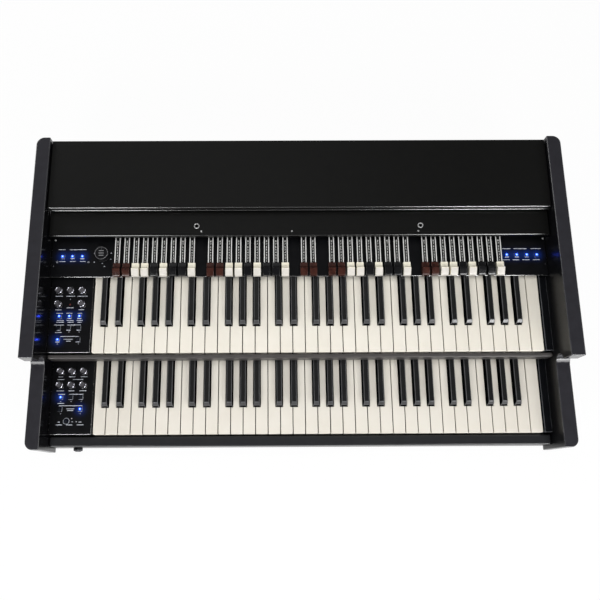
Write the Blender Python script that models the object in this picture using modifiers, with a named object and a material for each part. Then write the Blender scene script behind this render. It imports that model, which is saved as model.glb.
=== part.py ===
# Dual-manual drawbar organ, modelled as separate pieces in metres, +Z up.
# X runs to the player's right, Y away from the player, and the floor is Z = 0.

import math

import bmesh
import bpy
from mathutils import Matrix, Vector

# Gaps between pieces
TOUCH_GAP = 0.0003
CHEEK_GAP = 0.0005
LID_GAP = 0.0015

# Limits used while shapes are made
WELD = 0.00001
FLAT_ANGLE_DEG = 0.5
HOLE_REACH = 0.020
ROUND_STEPS = 16
ROUND_PROFILE = 0.5
UNIT = 1.0

# Keys, one manual
OCTAVES = 5
OCTAVE_SPAN = 0.165
NATURAL_GAP = 0.001
NATURAL_THICKNESS = 0.004
NATURAL_HEAD = 0.050
NATURAL_LIP = 0.017
NATURAL_LIP_DEPTH = 0.0035
LIP_INSET = 0.00015
KEY_LENGTH = 0.204
HINGE_BAR_DEPTH = 0.014
HINGE_BAR_BOW = 0.008
SHARP_WIDTH = 0.0132
SHARP_TOP_WIDTH = 0.0096
SHARP_HEIGHT = 0.012
SHARP_LENGTH = 0.099
SHARP_DEPTH = 0.006
SHARP_SLOPE = 0.005
SHARP_CLEARANCE = 0.0008
SHARP_END_GAP = 0.001
SHARP_BAR_RISE = 0.0026
SHARP_BAR_THICKNESS = 0.0044
SHARP_BAR_SETBACK = 0.002
SHARP_STRAP_WIDTH = 0.008
SHARP_STRAP_OVERLAP = 0.006
SHARP_SPREAD = 0.0022

# Case across
CHEEK_THICKNESS = 0.026
CONTROL_PANEL_WIDTH = 0.080
KEY_SIDE_GAP = 0.0022
END_BLOCK_WIDTH = 0.0141

# Case front to back
CASE_DEPTH = 0.581
KEYS_SETBACK = 0.030
MANUAL_SETBACK = 0.147
UPPER_KEYS_SHOWN = 0.1425
DRAWBAR_PANEL_SHOWN = 0.0715
SHELF_SHOWN = 0.048
BACK_RECESS = 0.003

# Case bottom to top
FOOT_HEIGHT = 0.012
BASE_THICKNESS = 0.010
LOWER_KEY_RISE = 0.0473
MANUAL_RISE = 0.0463
DRAWBAR_PANEL_THICKNESS = 0.003
DRAWBAR_PANEL_CLEARANCE = 0.0012
SHELF_RISE = 0.0305
SHELF_THICKNESS = 0.012
SHELF_LID_SPACE = 0.006
LID_THICKNESS = 0.013
CHEEK_ABOVE_LID = 0.0102

# Cheeks
LOWER_CHEEK_RISE = 0.0512
UPPER_CHEEK_OVERHANG = 0.022
COVE_RADIUS = 0.0185
COVE_REACH = 0.007
COVE_STEPS = 8
CHEEK_CORNER_RADIUS = 0.015
CHEEK_CORNER_STEPS = 5
CHEEK_EDGE = 0.0015
CHEEK_EDGE_ANGLE_DEG = 50

# Boards and rails
BOARD_EDGE = 0.003
REAR_THICKNESS = 0.012
SHELF_TAIL = 0.015
SHELF_RISER_THICKNESS = 0.006
LOWER_RAIL_DEPTH = 0.0185
LOWER_RAIL_GAP = 0.003
LOWER_RAIL_DROP = 0.0095
UPPER_RAIL_DEPTH = 0.008
UPPER_RAIL_GAP = 0.002
UPPER_RAIL_DROP = 0.0043
UPPER_RAIL_CLEARANCE = 0.0018
RAIL_EDGE = 0.003

# Key frames
FRAME_THICKNESS = 0.002
FRAME_DROP = 0.0293
FRAME_FRONT = 0.004
FRAME_BACK = 0.008
HINGE_RIDGE_DEPTH = 0.008
HINGE_RIDGE_CLEARANCE = 0.001
STOP_SETBACK = 0.020
STOP_DEPTH = 0.012
KEY_TRAVEL_DEG = 2.8
STOP_CLEARANCE = 0.0006

# Control panels
PANEL_RISE = 0.0017
PANEL_THICKNESS = 0.0025
PANEL_FLANGE = 0.026
PANEL_FRONT_GAP = 0.0005
PANEL_DEPTH = 0.150
END_BLOCK_HEIGHT = 0.0135
END_BLOCK_EDGE = 0.001

# Small knobs
KNOB_RADIUS = 0.0075
KNOB_TOP_RADIUS = 0.0064
KNOB_HEIGHT = 0.011
KNOB_LIFT = 0.0008
KNOB_SHAFT_RADIUS = 0.003
KNOB_SHAFT_CLEARANCE = 0.0004
KNOB_SHAFT_DROP = 0.004
KNOB_EDGE = 0.0012
KNOB_SKIRT = 0.002
KNOB_MARK_WIDTH = 0.0014
KNOB_MARK_DEPTH = 0.0008
KNOB_MARK_START = 0.25
KNOB_COLUMN = 0.0175
KNOB_PITCH = 0.0221
KNOB_FRONT_ROW = 0.0927
KNOB_ROW_PITCH = 0.0262

# Rotary selector
SELECTOR_RADIUS = 0.0135
SELECTOR_TOP_RADIUS = 0.0125
SELECTOR_HEIGHT = 0.013
SELECTOR_OFFSET = 0.0295
SELECTOR_SETBACK = 0.0440

# Push buttons
BUTTON_SIZE = 0.0096
BUTTON_CLEARANCE = 0.0005
BUTTON_TRAVEL = 0.0008
BUTTON_PROUD = 0.0006
BUTTON_WEB = 0.0012
BUTTON_WEB_MARGIN = 0.003
BUTTON_COLUMN = 0.0193
BUTTON_PITCH = 0.0190
BUTTON_BACK_ROW = 0.0700
BUTTON_ROW_PITCH = 0.0225
ROUND_BUTTON_RADIUS = 0.0052
ROUND_BUTTON_COLUMN = 0.0326
ROUND_BUTTON_SETBACK = 0.0255
BANK_BUTTON_SETBACK = 0.0410
LEFT_BANK_COLUMN = 0.0220
LEFT_BANK_PITCH = 0.0188
RIGHT_BANK_COLUMN = 0.0196
RIGHT_BANK_PITCH = 0.0192
LEFT_BANK_BUTTONS = 3
RIGHT_BANK_BUTTONS = 4

# Drawbars
DRAWBAR_GROUPS = ((0, 9), (10, 9), (20, 2), (23, 9), (33, 9))
DRAWBAR_SLOTS = 42
DRAWBAR_LEFT_BLOCK = 0.1277
DRAWBAR_RIGHT_BLOCK = 0.0940
CAP_GAP = 0.0037
CAP_LENGTH = 0.026
CAP_CREST_SETBACK = 0.010
CAP_SLOPE_LENGTH = 0.006
CAP_FRONT_HEIGHT = 0.005
CAP_CREST_HEIGHT = 0.015
CAP_BACK_HEIGHT = 0.0095
CAP_CLEARANCE = 0.002
CAP_FRONT_OVERHANG = 0.001
CAP_STEPS = 3
CAP_SHELF_GAP = 0.002
STEM_WIDTH = 0.0105
STEM_THICKNESS = 0.005
STEM_RISE = 0.0035
STEM_CAP_OVERLAP = 0.004
STEM_BACK = 0.050
STEM_BAR_DEPTH = 0.008
SLIDE_BOARD_THICKNESS = 0.0026
SLIDE_BOARD_DEPTH = 0.070
SLIDE_BOARD_MARGIN = 0.012
PANEL_TAIL_MARGIN = 0.004

# Music stand sockets
SOCKET_SPREAD = 0.2115
SOCKET_CENTRE = 0.0170
SOCKET_SETBACK = 0.0195
SOCKET_FLANGE_RADIUS = 0.0053
SOCKET_FLANGE_HEIGHT = 0.001
SOCKET_BARREL_RADIUS = 0.0046
SOCKET_BORE_RADIUS = 0.0034
SOCKET_DEPTH = 0.010
SOCKET_CLEARANCE = 0.0003

# Headphone jack and rear sockets
JACK_INSET = 0.0495
JACK_DROP = 0.033
JACK_NUT_RADIUS = 0.0085
JACK_NUT_LENGTH = 0.0075
JACK_BARREL_RADIUS = 0.0047
JACK_BORE_RADIUS = 0.0032
JACK_TAIL = 0.004
JACK_STEPS = 20
REAR_JACK_STEPS = 14
REAR_PLATE_WIDTH = 0.170
REAR_PLATE_HEIGHT = 0.036
REAR_PLATE_THICKNESS = 0.0015
REAR_WINDOW_MARGIN = 0.007
REAR_PLATE_INSET = 0.2939
REAR_PLATE_RISE = 0.060
REAR_JACKS = 4
REAR_JACK_PITCH = 0.0363
REAR_JACK_RADIUS = 0.0065
REAR_JACK_DEPTH = 0.022
INLET_INSET = 0.144
INLET_FLANGE_WIDTH = 0.048
INLET_FLANGE_HEIGHT = 0.030
INLET_FLANGE_THICKNESS = 0.002
INLET_BODY_WIDTH = 0.028
INLET_BODY_HEIGHT = 0.021
INLET_BODY_DEPTH = 0.024
INLET_WALL = 0.002

# Inside pieces and feet
BOARD_WIDTH = 0.240
BOARD_DEPTH = 0.130
BOARD_THICKNESS = 0.0016
BOARD_STANDOFF = 0.006
STANDOFF_RADIUS = 0.003
STANDOFF_INSET = 0.008
STANDOFF_STEPS = 10
BOARD_CHIP = 0.028
BOARD_CHIP_HEIGHT = 0.003
SUPPLY_WIDTH = 0.120
SUPPLY_DEPTH = 0.075
SUPPLY_HEIGHT = 0.036
SUPPLY_FLANGE = 0.012
SUPPLY_FLANGE_THICKNESS = 0.002
INSIDE_SETBACK = 0.275
FOOT_RADIUS = 0.016
FOOT_INSET_X = 0.070
FOOT_INSET_Y = 0.050
FOOT_CHAMFER = 0.0015
FOOT_STEPS = 24

# Distances across, worked out from the sizes above
NATURALS = 7 * OCTAVES + 1
NATURAL_PITCH = OCTAVE_SPAN / 7
KEYBOARD_WIDTH = NATURALS * NATURAL_PITCH
INNER_WIDTH = (
    2 * CHEEK_GAP + CONTROL_PANEL_WIDTH + 2 * KEY_SIDE_GAP + KEYBOARD_WIDTH + END_BLOCK_WIDTH
)
CASE_WIDTH = INNER_WIDTH + 2 * CHEEK_THICKNESS
INNER_X = INNER_WIDTH / 2
BOARD_X = INNER_X - CHEEK_GAP
PANEL_RIGHT_X = -BOARD_X + CONTROL_PANEL_WIDTH
KEYS_X = PANEL_RIGHT_X + KEY_SIDE_GAP
END_BLOCK_X = KEYS_X + KEYBOARD_WIDTH + KEY_SIDE_GAP
DRAWBAR_PITCH = (INNER_WIDTH - DRAWBAR_LEFT_BLOCK - DRAWBAR_RIGHT_BLOCK) / (DRAWBAR_SLOTS - 1)
DRAWBAR_X = -INNER_X + DRAWBAR_LEFT_BLOCK
SELECTOR_X = DRAWBAR_X - SELECTOR_OFFSET
CAP_WIDTH = DRAWBAR_PITCH - CAP_GAP
REAR_PLATE_CENTRE = -INNER_X + REAR_PLATE_INSET
INLET_CENTRE = INNER_X - INLET_INSET

# Distances front to back
FRONT_Y = -CASE_DEPTH / 2
LOWER_KEYS_Y = FRONT_Y + KEYS_SETBACK
UPPER_KEYS_Y = LOWER_KEYS_Y + MANUAL_SETBACK
DRAWBAR_PANEL_Y = UPPER_KEYS_Y + UPPER_KEYS_SHOWN
SHELF_Y = DRAWBAR_PANEL_Y + DRAWBAR_PANEL_SHOWN
LID_Y = SHELF_Y + SHELF_SHOWN
BACK_Y = CASE_DEPTH / 2
CASE_BACK_Y = BACK_Y - BACK_RECESS
UPPER_RAIL_Y = UPPER_KEYS_Y - UPPER_RAIL_GAP - UPPER_RAIL_DEPTH
UPPER_CHEEK_Y = UPPER_KEYS_Y - UPPER_CHEEK_OVERHANG
LOWER_RAIL_Y = LOWER_KEYS_Y - LOWER_RAIL_GAP - LOWER_RAIL_DEPTH
INSIDE_Y = LOWER_KEYS_Y + INSIDE_SETBACK
CAP_FRONT_Y = DRAWBAR_PANEL_Y - CAP_FRONT_OVERHANG
CAP_BACK_Y = CAP_FRONT_Y + CAP_LENGTH
STEM_BACK_Y = SHELF_Y + STEM_BACK
DRAWBAR_TRAVEL = SHELF_Y - CAP_SHELF_GAP - CAP_BACK_Y
PANEL_BACK_Y = STEM_BACK_Y + DRAWBAR_TRAVEL + PANEL_TAIL_MARGIN
SOCKET_Y = SHELF_Y + SOCKET_SETBACK

# Heights
BOTTOM_Z = FOOT_HEIGHT
BASE_TOP_Z = BOTTOM_Z + BASE_THICKNESS
LOWER_KEYS_Z = BASE_TOP_Z + LOWER_KEY_RISE
UPPER_KEYS_Z = LOWER_KEYS_Z + MANUAL_RISE
DRAWBAR_PANEL_Z = UPPER_KEYS_Z + SHARP_HEIGHT + DRAWBAR_PANEL_CLEARANCE + DRAWBAR_PANEL_THICKNESS
SHELF_Z = DRAWBAR_PANEL_Z + SHELF_RISE
LID_BOTTOM_Z = SHELF_Z + SHELF_LID_SPACE
LID_Z = LID_BOTTOM_Z + LID_THICKNESS
CHEEK_Z = LID_Z + CHEEK_ABOVE_LID
LOWER_CHEEK_Z = LOWER_KEYS_Z + LOWER_CHEEK_RISE
JACK_Z = LOWER_KEYS_Z - JACK_DROP
REAR_PLATE_Z = BASE_TOP_Z + REAR_PLATE_RISE
BUTTON_RISE = BUTTON_TRAVEL + BUTTON_PROUD

# Sharps of one octave: the natural on the left and the shift from the gap, in spreads
SHARPS = ((0, -1), (1, 1), (3, -1.2), (4, 0), (5, 1.2))
SHARP_FRONT = NATURAL_HEAD + SHARP_END_GAP
HINGE_SETBACK = KEY_LENGTH - HINGE_BAR_DEPTH / 2

# Key groups of one manual: name, first octave and number of octaves
KEY_GROUP_OCTAVES = (("low", 0, 2), ("middle", 2, 2), ("high", 4, 1))

# Control positions on a control panel: column and row, from the left and from the front
UPPER_KNOBS = ((0, 1), (1, 1), (2, 1), (0, 0), (2, 0))
LOWER_KNOBS = ((0, 1), (1, 1), (2, 1), (0, 0), (1, 0), (2, 0))
UPPER_BUTTONS = ((0, 0), (1, 0), (2, 0), (0, 1), (1, 1), (2, 1), (0, 2), (2, 2))
LOWER_BUTTONS = ((0, 0), (1, 0), (2, 0), (0, 1), (2, 1))

# Colours, roughness and metallic values
LOOKS = {
    "satin_black": ((0.020, 0.020, 0.023), 0.45, 0.0),
    "board_black": ((0.012, 0.012, 0.012), 0.40, 0.0),
    "panel_black": ((0.008, 0.009, 0.012), 0.35, 0.2),
    "ivory": ((0.84, 0.78, 0.68), 0.30, 0.0),
    "sharp_black": ((0.010, 0.010, 0.010), 0.18, 0.0),
    "cap_ivory": ((0.85, 0.80, 0.66), 0.30, 0.0),
    "cap_brown": ((0.12, 0.035, 0.020), 0.30, 0.0),
    "knob_black": ((0.015, 0.015, 0.017), 0.30, 0.0),
    "button_blue": ((0.02, 0.10, 0.80), 0.35, 0.0),
    "steel": ((0.60, 0.60, 0.60), 0.30, 1.0),
    "frame_grey": ((0.10, 0.10, 0.10), 0.60, 0.0),
    "board_green": ((0.02, 0.12, 0.05), 0.50, 0.0),
    "rubber": ((0.015, 0.015, 0.015), 0.85, 0.0),
}

PARTS = "dual_manual_organ"
CUTTERS = "cutters"


def clear_scene():
    for obj in list(bpy.data.objects):
        bpy.data.objects.remove(obj)


def collection(name):
    made = bpy.data.collections.new(name)
    bpy.context.scene.collection.children.link(made)
    return made


def material(look):
    found = bpy.data.materials.get(look)
    if found:
        return found
    colour, roughness, metallic = LOOKS[look]
    made = bpy.data.materials.new(look)
    made.use_nodes = True
    shader = made.node_tree.nodes["Principled BSDF"]
    shader.inputs["Base Color"].default_value = (*colour, 1.0)
    shader.inputs["Roughness"].default_value = roughness
    shader.inputs["Metallic"].default_value = metallic
    made.diffuse_color = (*colour, 1.0)
    return made


def place(name, mesh, look, origin=(0.0, 0.0, 0.0)):
    """A piece from a mesh in world coordinates, with its origin moved to the given point."""
    mesh.transform(Matrix.Translation(-Vector(origin)))
    mesh.name = name
    mesh.materials.clear()
    mesh.materials.append(material(look))
    obj = bpy.data.objects.new(name, mesh)
    obj.location = origin
    bpy.data.collections[PARTS].objects.link(obj)
    return obj


def helper(name, mesh):
    """A hidden solid that a Boolean modifier uses."""
    obj = bpy.data.objects.new(name, mesh)
    obj.hide_render = True
    obj.display_type = "WIRE"
    bpy.data.collections[CUTTERS].objects.link(obj)
    return obj


def mesh_of(bm):
    mesh = bpy.data.meshes.new("mesh")
    bm.to_mesh(mesh)
    bm.free()
    return mesh


def add_box(bm, low, high):
    size = Vector(high) - Vector(low)
    centre = (Vector(high) + Vector(low)) / 2
    matrix = Matrix.Translation(centre) @ Matrix.Diagonal((*size, UNIT))
    return bmesh.ops.create_cube(bm, size=UNIT, matrix=matrix)["verts"]


def box_mesh(low, high):
    bm = bmesh.new()
    add_box(bm, low, high)
    return mesh_of(bm)


def boxes_mesh(boxes):
    bm = bmesh.new()
    for low, high in boxes:
        add_box(bm, low, high)
    return mesh_of(bm)


def add_cylinder(bm, centre, radius, low, high, axis="Z", steps=ROUND_STEPS):
    turn = Matrix.Identity(4)
    middle = Vector(centre)
    if axis == "Y":
        turn = Matrix.Rotation(math.radians(-90), 4, "X")
        middle.y = (low + high) / 2
    else:
        middle.z = (low + high) / 2
    bmesh.ops.create_cone(
        bm, cap_ends=True, segments=steps, radius1=radius, radius2=radius,
        depth=high - low, matrix=Matrix.Translation(middle) @ turn,
    )


def prism_mesh(outline, plane, low, high):
    """A flat outline in the XY, YZ or XZ plane, drawn out along the third axis."""
    turns = {
        "XY": Matrix.Identity(3),
        "YZ": Matrix(((0, 0, 1), (1, 0, 0), (0, 1, 0))),
        "XZ": Matrix(((1, 0, 0), (0, 0, -1), (0, 1, 0))),
    }
    shifts = {"XY": (0, 0, 1), "YZ": (1, 0, 0), "XZ": (0, 1, 0)}
    curve = bpy.data.curves.new("outline", "CURVE")
    curve.dimensions = "2D"
    curve.fill_mode = "BOTH"
    curve.extrude = (high - low) / 2
    spline = curve.splines.new("POLY")
    spline.points.add(len(outline) - 1)
    for point, (u, v) in zip(spline.points, outline):
        point.co = (u, v, 0.0, 1.0)
    spline.use_cyclic_u = True
    guide = bpy.data.objects.new("outline", curve)
    guide.matrix_world = (
        Matrix.Translation(Vector(shifts[plane]) * (low + high) / 2) @ turns[plane].to_4x4()
    )
    bpy.context.scene.collection.objects.link(guide)
    bpy.context.view_layer.update()
    graph = bpy.context.evaluated_depsgraph_get()
    mesh = bpy.data.meshes.new_from_object(guide.evaluated_get(graph))
    mesh.transform(guide.matrix_world)
    bpy.data.objects.remove(guide)
    bm = bmesh.new()
    bm.from_mesh(mesh)
    bpy.data.meshes.remove(mesh)
    bmesh.ops.remove_doubles(bm, verts=bm.verts, dist=WELD)
    flat = math.radians(FLAT_ANGLE_DEG)
    bmesh.ops.dissolve_limit(bm, angle_limit=flat, verts=bm.verts, edges=bm.edges)
    bmesh.ops.recalc_face_normals(bm, faces=bm.faces)
    return mesh_of(bm)


def joined_mesh(meshes):
    bm = bmesh.new()
    for mesh in meshes:
        bm.from_mesh(mesh)
        bpy.data.meshes.remove(mesh)
    return mesh_of(bm)


def arc(centre, radius, start, end, steps):
    """Points on a circle, angles in degrees."""
    points = []
    for step in range(steps + 1):
        angle = math.radians(start + (end - start) * step / steps)
        points.append((centre[0] + radius * math.cos(angle), centre[1] + radius * math.sin(angle)))
    return points


def boolean(obj, operation, tool):
    modifier = obj.modifiers.new(operation.title(), "BOOLEAN")
    modifier.operation = operation
    modifier.solver = "EXACT"
    modifier.object = tool


def cut(obj, mesh):
    boolean(obj, "DIFFERENCE", helper(obj.name + "_cut", mesh))


def fuse(obj, mesh):
    boolean(obj, "UNION", helper(obj.name + "_add", mesh))


def soften(obj, width, segments=2, angle=35):
    modifier = obj.modifiers.new("Edges", "BEVEL")
    modifier.width = width
    modifier.segments = segments
    modifier.limit_method = "ANGLE"
    modifier.angle_limit = math.radians(angle)


def turned(name, profile, look, origin, axis="Z", steps=ROUND_STEPS):
    """A solid turned about an axis through its origin; the profile is (radius, along) pairs."""
    bm = bmesh.new()
    corners = [bm.verts.new((radius, 0.0, along)) for radius, along in profile]
    for first, second in zip(corners, corners[1:]):
        bm.edges.new((first, second))
    obj = place(name, mesh_of(bm), look)
    obj.location = origin
    if axis == "Y":
        obj.rotation_euler = (math.radians(90), 0.0, 0.0)
    screw = obj.modifiers.new("Turn", "SCREW")
    screw.axis = "Z"
    screw.steps = steps
    screw.render_steps = steps
    screw.use_merge_vertices = True
    screw.merge_threshold = WELD
    screw.use_smooth_shade = True
    return obj


def cheek_outline():
    """The stepped side in the YZ plane, with the cove under the upper part's overhang."""
    cove = (UPPER_CHEEK_Y - COVE_REACH, LOWER_CHEEK_Z + COVE_RADIUS)
    end = 90 - math.degrees(math.asin(COVE_REACH / COVE_RADIUS))
    outline = [
        (FRONT_Y, LOWER_CHEEK_Z),
        (FRONT_Y, BOTTOM_Z),
        (BACK_Y, BOTTOM_Z),
        (BACK_Y, CHEEK_Z),
        (UPPER_CHEEK_Y, CHEEK_Z),
    ]
    return outline + arc(cove, COVE_RADIUS, end, -90, COVE_STEPS)


def round_outer_corners(mesh, outer_x):
    """Rounds the two upright edges that face out: the front one and the back one."""
    bm = bmesh.new()
    bm.from_mesh(mesh)
    ends = (FRONT_Y, BACK_Y)
    chosen = [
        edge for edge in bm.edges
        if all(abs(vert.co.x - outer_x) < WELD for vert in edge.verts)
        and any(all(abs(vert.co.y - end) < WELD for vert in edge.verts) for end in ends)
    ]
    bmesh.ops.bevel(
        bm, geom=chosen, offset=CHEEK_CORNER_RADIUS, segments=CHEEK_CORNER_STEPS,
        profile=ROUND_PROFILE, affect="EDGES",
    )
    bm.to_mesh(mesh)
    bm.free()


def make_cheeks():
    for name, side in (("left_cheek", -1), ("right_cheek", 1)):
        low, high = sorted((side * INNER_X, side * (INNER_X + CHEEK_THICKNESS)))
        mesh = prism_mesh(cheek_outline(), "YZ", low, high)
        round_outer_corners(mesh, side * (INNER_X + CHEEK_THICKNESS))
        soften(place(name, mesh, "satin_black"), CHEEK_EDGE, 2, CHEEK_EDGE_ANGLE_DEG)


def make_boards():
    front = LOWER_RAIL_Y
    base = box_mesh((-BOARD_X, front, BOTTOM_Z), (BOARD_X, CASE_BACK_Y, BASE_TOP_Z - TOUCH_GAP))
    place("base_panel", base, "board_black")
    rear_front = CASE_BACK_Y - REAR_THICKNESS
    rear = place(
        "rear_panel",
        box_mesh((-BOARD_X, rear_front, BASE_TOP_Z), (BOARD_X, CASE_BACK_Y, LID_BOTTOM_Z - TOUCH_GAP)),
        "board_black",
    )
    cut(rear, rear_openings())
    lid_x = INNER_X - LID_GAP
    lid = place(
        "top_lid", box_mesh((-lid_x, LID_Y, LID_BOTTOM_Z), (lid_x, CASE_BACK_Y, LID_Z)), "board_black"
    )
    soften(lid, BOARD_EDGE, 3)
    make_shelf()


def rear_openings():
    """The window behind the socket plate and the hole for the mains inlet."""
    window_x = REAR_PLATE_WIDTH / 2 - REAR_WINDOW_MARGIN
    window_z = REAR_PLATE_HEIGHT / 2 - REAR_WINDOW_MARGIN
    inlet_x = INLET_BODY_WIDTH / 2 + TOUCH_GAP
    inlet_z = INLET_BODY_HEIGHT / 2 + TOUCH_GAP
    low = CASE_BACK_Y - 2 * REAR_THICKNESS
    high = CASE_BACK_Y + REAR_THICKNESS
    return boxes_mesh((
        ((REAR_PLATE_CENTRE - window_x, low, REAR_PLATE_Z - window_z),
         (REAR_PLATE_CENTRE + window_x, high, REAR_PLATE_Z + window_z)),
        ((INLET_CENTRE - inlet_x, low, REAR_PLATE_Z - inlet_z),
         (INLET_CENTRE + inlet_x, high, REAR_PLATE_Z + inlet_z)),
    ))


def make_shelf():
    """The music stand's shelf: a board with a riser at its back that meets the lid."""
    tail = LID_Y + SHELF_TAIL
    outline = [
        (SHELF_Y, SHELF_Z - SHELF_THICKNESS),
        (tail, SHELF_Z - SHELF_THICKNESS),
        (tail, LID_BOTTOM_Z - TOUCH_GAP),
        (tail - SHELF_RISER_THICKNESS, LID_BOTTOM_Z - TOUCH_GAP),
        (tail - SHELF_RISER_THICKNESS, SHELF_Z),
        (SHELF_Y, SHELF_Z),
    ]
    shelf = place("music_shelf", prism_mesh(outline, "YZ", -BOARD_X, BOARD_X), "board_black")
    soften(shelf, BOARD_EDGE, 3)
    bm = bmesh.new()
    for x in socket_places():
        add_cylinder(
            bm, (x, SOCKET_Y, 0), SOCKET_BARREL_RADIUS + SOCKET_CLEARANCE,
            SHELF_Z - 2 * SHELF_THICKNESS, SHELF_Z + SHELF_THICKNESS,
        )
    cut(shelf, mesh_of(bm))


def socket_places():
    return (SOCKET_CENTRE - SOCKET_SPREAD, SOCKET_CENTRE + SOCKET_SPREAD)


def make_stand_sockets():
    flange_low = TOUCH_GAP
    flange_high = flange_low + SOCKET_FLANGE_HEIGHT
    profile = (
        (0.0, flange_high - SOCKET_DEPTH),
        (SOCKET_BORE_RADIUS, flange_high - SOCKET_DEPTH),
        (SOCKET_BORE_RADIUS, flange_high),
        (SOCKET_FLANGE_RADIUS, flange_high),
        (SOCKET_FLANGE_RADIUS, flange_low),
        (SOCKET_BARREL_RADIUS, flange_low),
        (SOCKET_BARREL_RADIUS, -SHELF_THICKNESS),
        (0.0, -SHELF_THICKNESS),
    )
    for side, x in zip(("left", "right"), socket_places()):
        turned(side + "_stand_socket", profile, "steel", (x, SOCKET_Y, SHELF_Z))


def make_rails():
    upper_low = LOWER_KEYS_Z + SHARP_HEIGHT + UPPER_RAIL_CLEARANCE
    upper = box_mesh(
        (-BOARD_X, UPPER_RAIL_Y, upper_low),
        (BOARD_X, UPPER_RAIL_Y + UPPER_RAIL_DEPTH, UPPER_KEYS_Z - UPPER_RAIL_DROP),
    )
    soften(place("upper_front_rail", upper, "board_black"), RAIL_EDGE, 3)
    lower = place(
        "lower_front_rail",
        box_mesh(
            (-BOARD_X, LOWER_RAIL_Y, BASE_TOP_Z),
            (BOARD_X, LOWER_RAIL_Y + LOWER_RAIL_DEPTH, LOWER_KEYS_Z - LOWER_RAIL_DROP),
        ),
        "board_black",
    )
    soften(lower, RAIL_EDGE, 3)
    bm = bmesh.new()
    add_cylinder(
        bm, (jack_x(), 0, JACK_Z), JACK_BARREL_RADIUS + SOCKET_CLEARANCE,
        LOWER_RAIL_Y - LOWER_RAIL_DEPTH, LOWER_RAIL_Y + 2 * LOWER_RAIL_DEPTH, "Y",
    )
    cut(lower, mesh_of(bm))


def jack_x():
    return -INNER_X + JACK_INSET


def make_headphone_jack():
    """Turned about Y: the nut in front of the rail, the barrel through it, a blind bore."""
    nut = TOUCH_GAP + JACK_NUT_LENGTH
    tail = -LOWER_RAIL_DEPTH - JACK_TAIL
    profile = (
        (0.0, tail + JACK_TAIL / 2),
        (JACK_BORE_RADIUS, tail + JACK_TAIL / 2),
        (JACK_BORE_RADIUS, nut),
        (JACK_NUT_RADIUS, nut),
        (JACK_NUT_RADIUS, TOUCH_GAP),
        (JACK_BARREL_RADIUS, TOUCH_GAP),
        (JACK_BARREL_RADIUS, tail),
        (0.0, tail),
    )
    place_at = (jack_x(), LOWER_RAIL_Y, JACK_Z)
    turned("headphone_jack", profile, "steel", place_at, "Y", JACK_STEPS)


def make_rear_sockets():
    outer = CASE_BACK_Y + TOUCH_GAP
    half = Vector((REAR_PLATE_WIDTH / 2, 0, REAR_PLATE_HEIGHT / 2))
    centre = Vector((REAR_PLATE_CENTRE, outer, REAR_PLATE_Z))
    thick = Vector((0, REAR_PLATE_THICKNESS, 0))
    plate = place("rear_socket_plate", box_mesh(centre - half, centre + half + thick), "steel")
    bodies = bmesh.new()
    bores = bmesh.new()
    back = outer + REAR_PLATE_THICKNESS
    for index in range(REAR_JACKS):
        x = REAR_PLATE_CENTRE + (index - (REAR_JACKS - 1) / 2) * REAR_JACK_PITCH
        spot = (x, 0, REAR_PLATE_Z)
        add_cylinder(
            bodies, spot, REAR_JACK_RADIUS, back - REAR_JACK_DEPTH, outer + REAR_PLATE_THICKNESS / 3,
            "Y", REAR_JACK_STEPS,
        )
        add_cylinder(
            bores, spot, JACK_BORE_RADIUS, back - REAR_JACK_DEPTH + INLET_WALL,
            back + REAR_PLATE_THICKNESS, "Y", REAR_JACK_STEPS,
        )
    fuse(plate, mesh_of(bodies))
    cut(plate, mesh_of(bores))


def make_mains_inlet():
    outer = CASE_BACK_Y + TOUCH_GAP
    face = outer + INLET_FLANGE_THICKNESS
    flange = box_mesh(
        (INLET_CENTRE - INLET_FLANGE_WIDTH / 2, outer, REAR_PLATE_Z - INLET_FLANGE_HEIGHT / 2),
        (INLET_CENTRE + INLET_FLANGE_WIDTH / 2, face, REAR_PLATE_Z + INLET_FLANGE_HEIGHT / 2),
    )
    inlet = place("mains_inlet", flange, "knob_black")
    wide = INLET_BODY_WIDTH / 2
    tall = INLET_BODY_HEIGHT / 2
    fuse(inlet, box_mesh(
        (INLET_CENTRE - wide, face - INLET_BODY_DEPTH, REAR_PLATE_Z - tall),
        (INLET_CENTRE + wide, outer + INLET_FLANGE_THICKNESS / 2, REAR_PLATE_Z + tall),
    ))
    cut(inlet, box_mesh(
        (INLET_CENTRE - wide + INLET_WALL, face - INLET_BODY_DEPTH + INLET_WALL,
         REAR_PLATE_Z - tall + INLET_WALL),
        (INLET_CENTRE + wide - INLET_WALL, face + INLET_WALL, REAR_PLATE_Z + tall - INLET_WALL),
    ))


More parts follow.
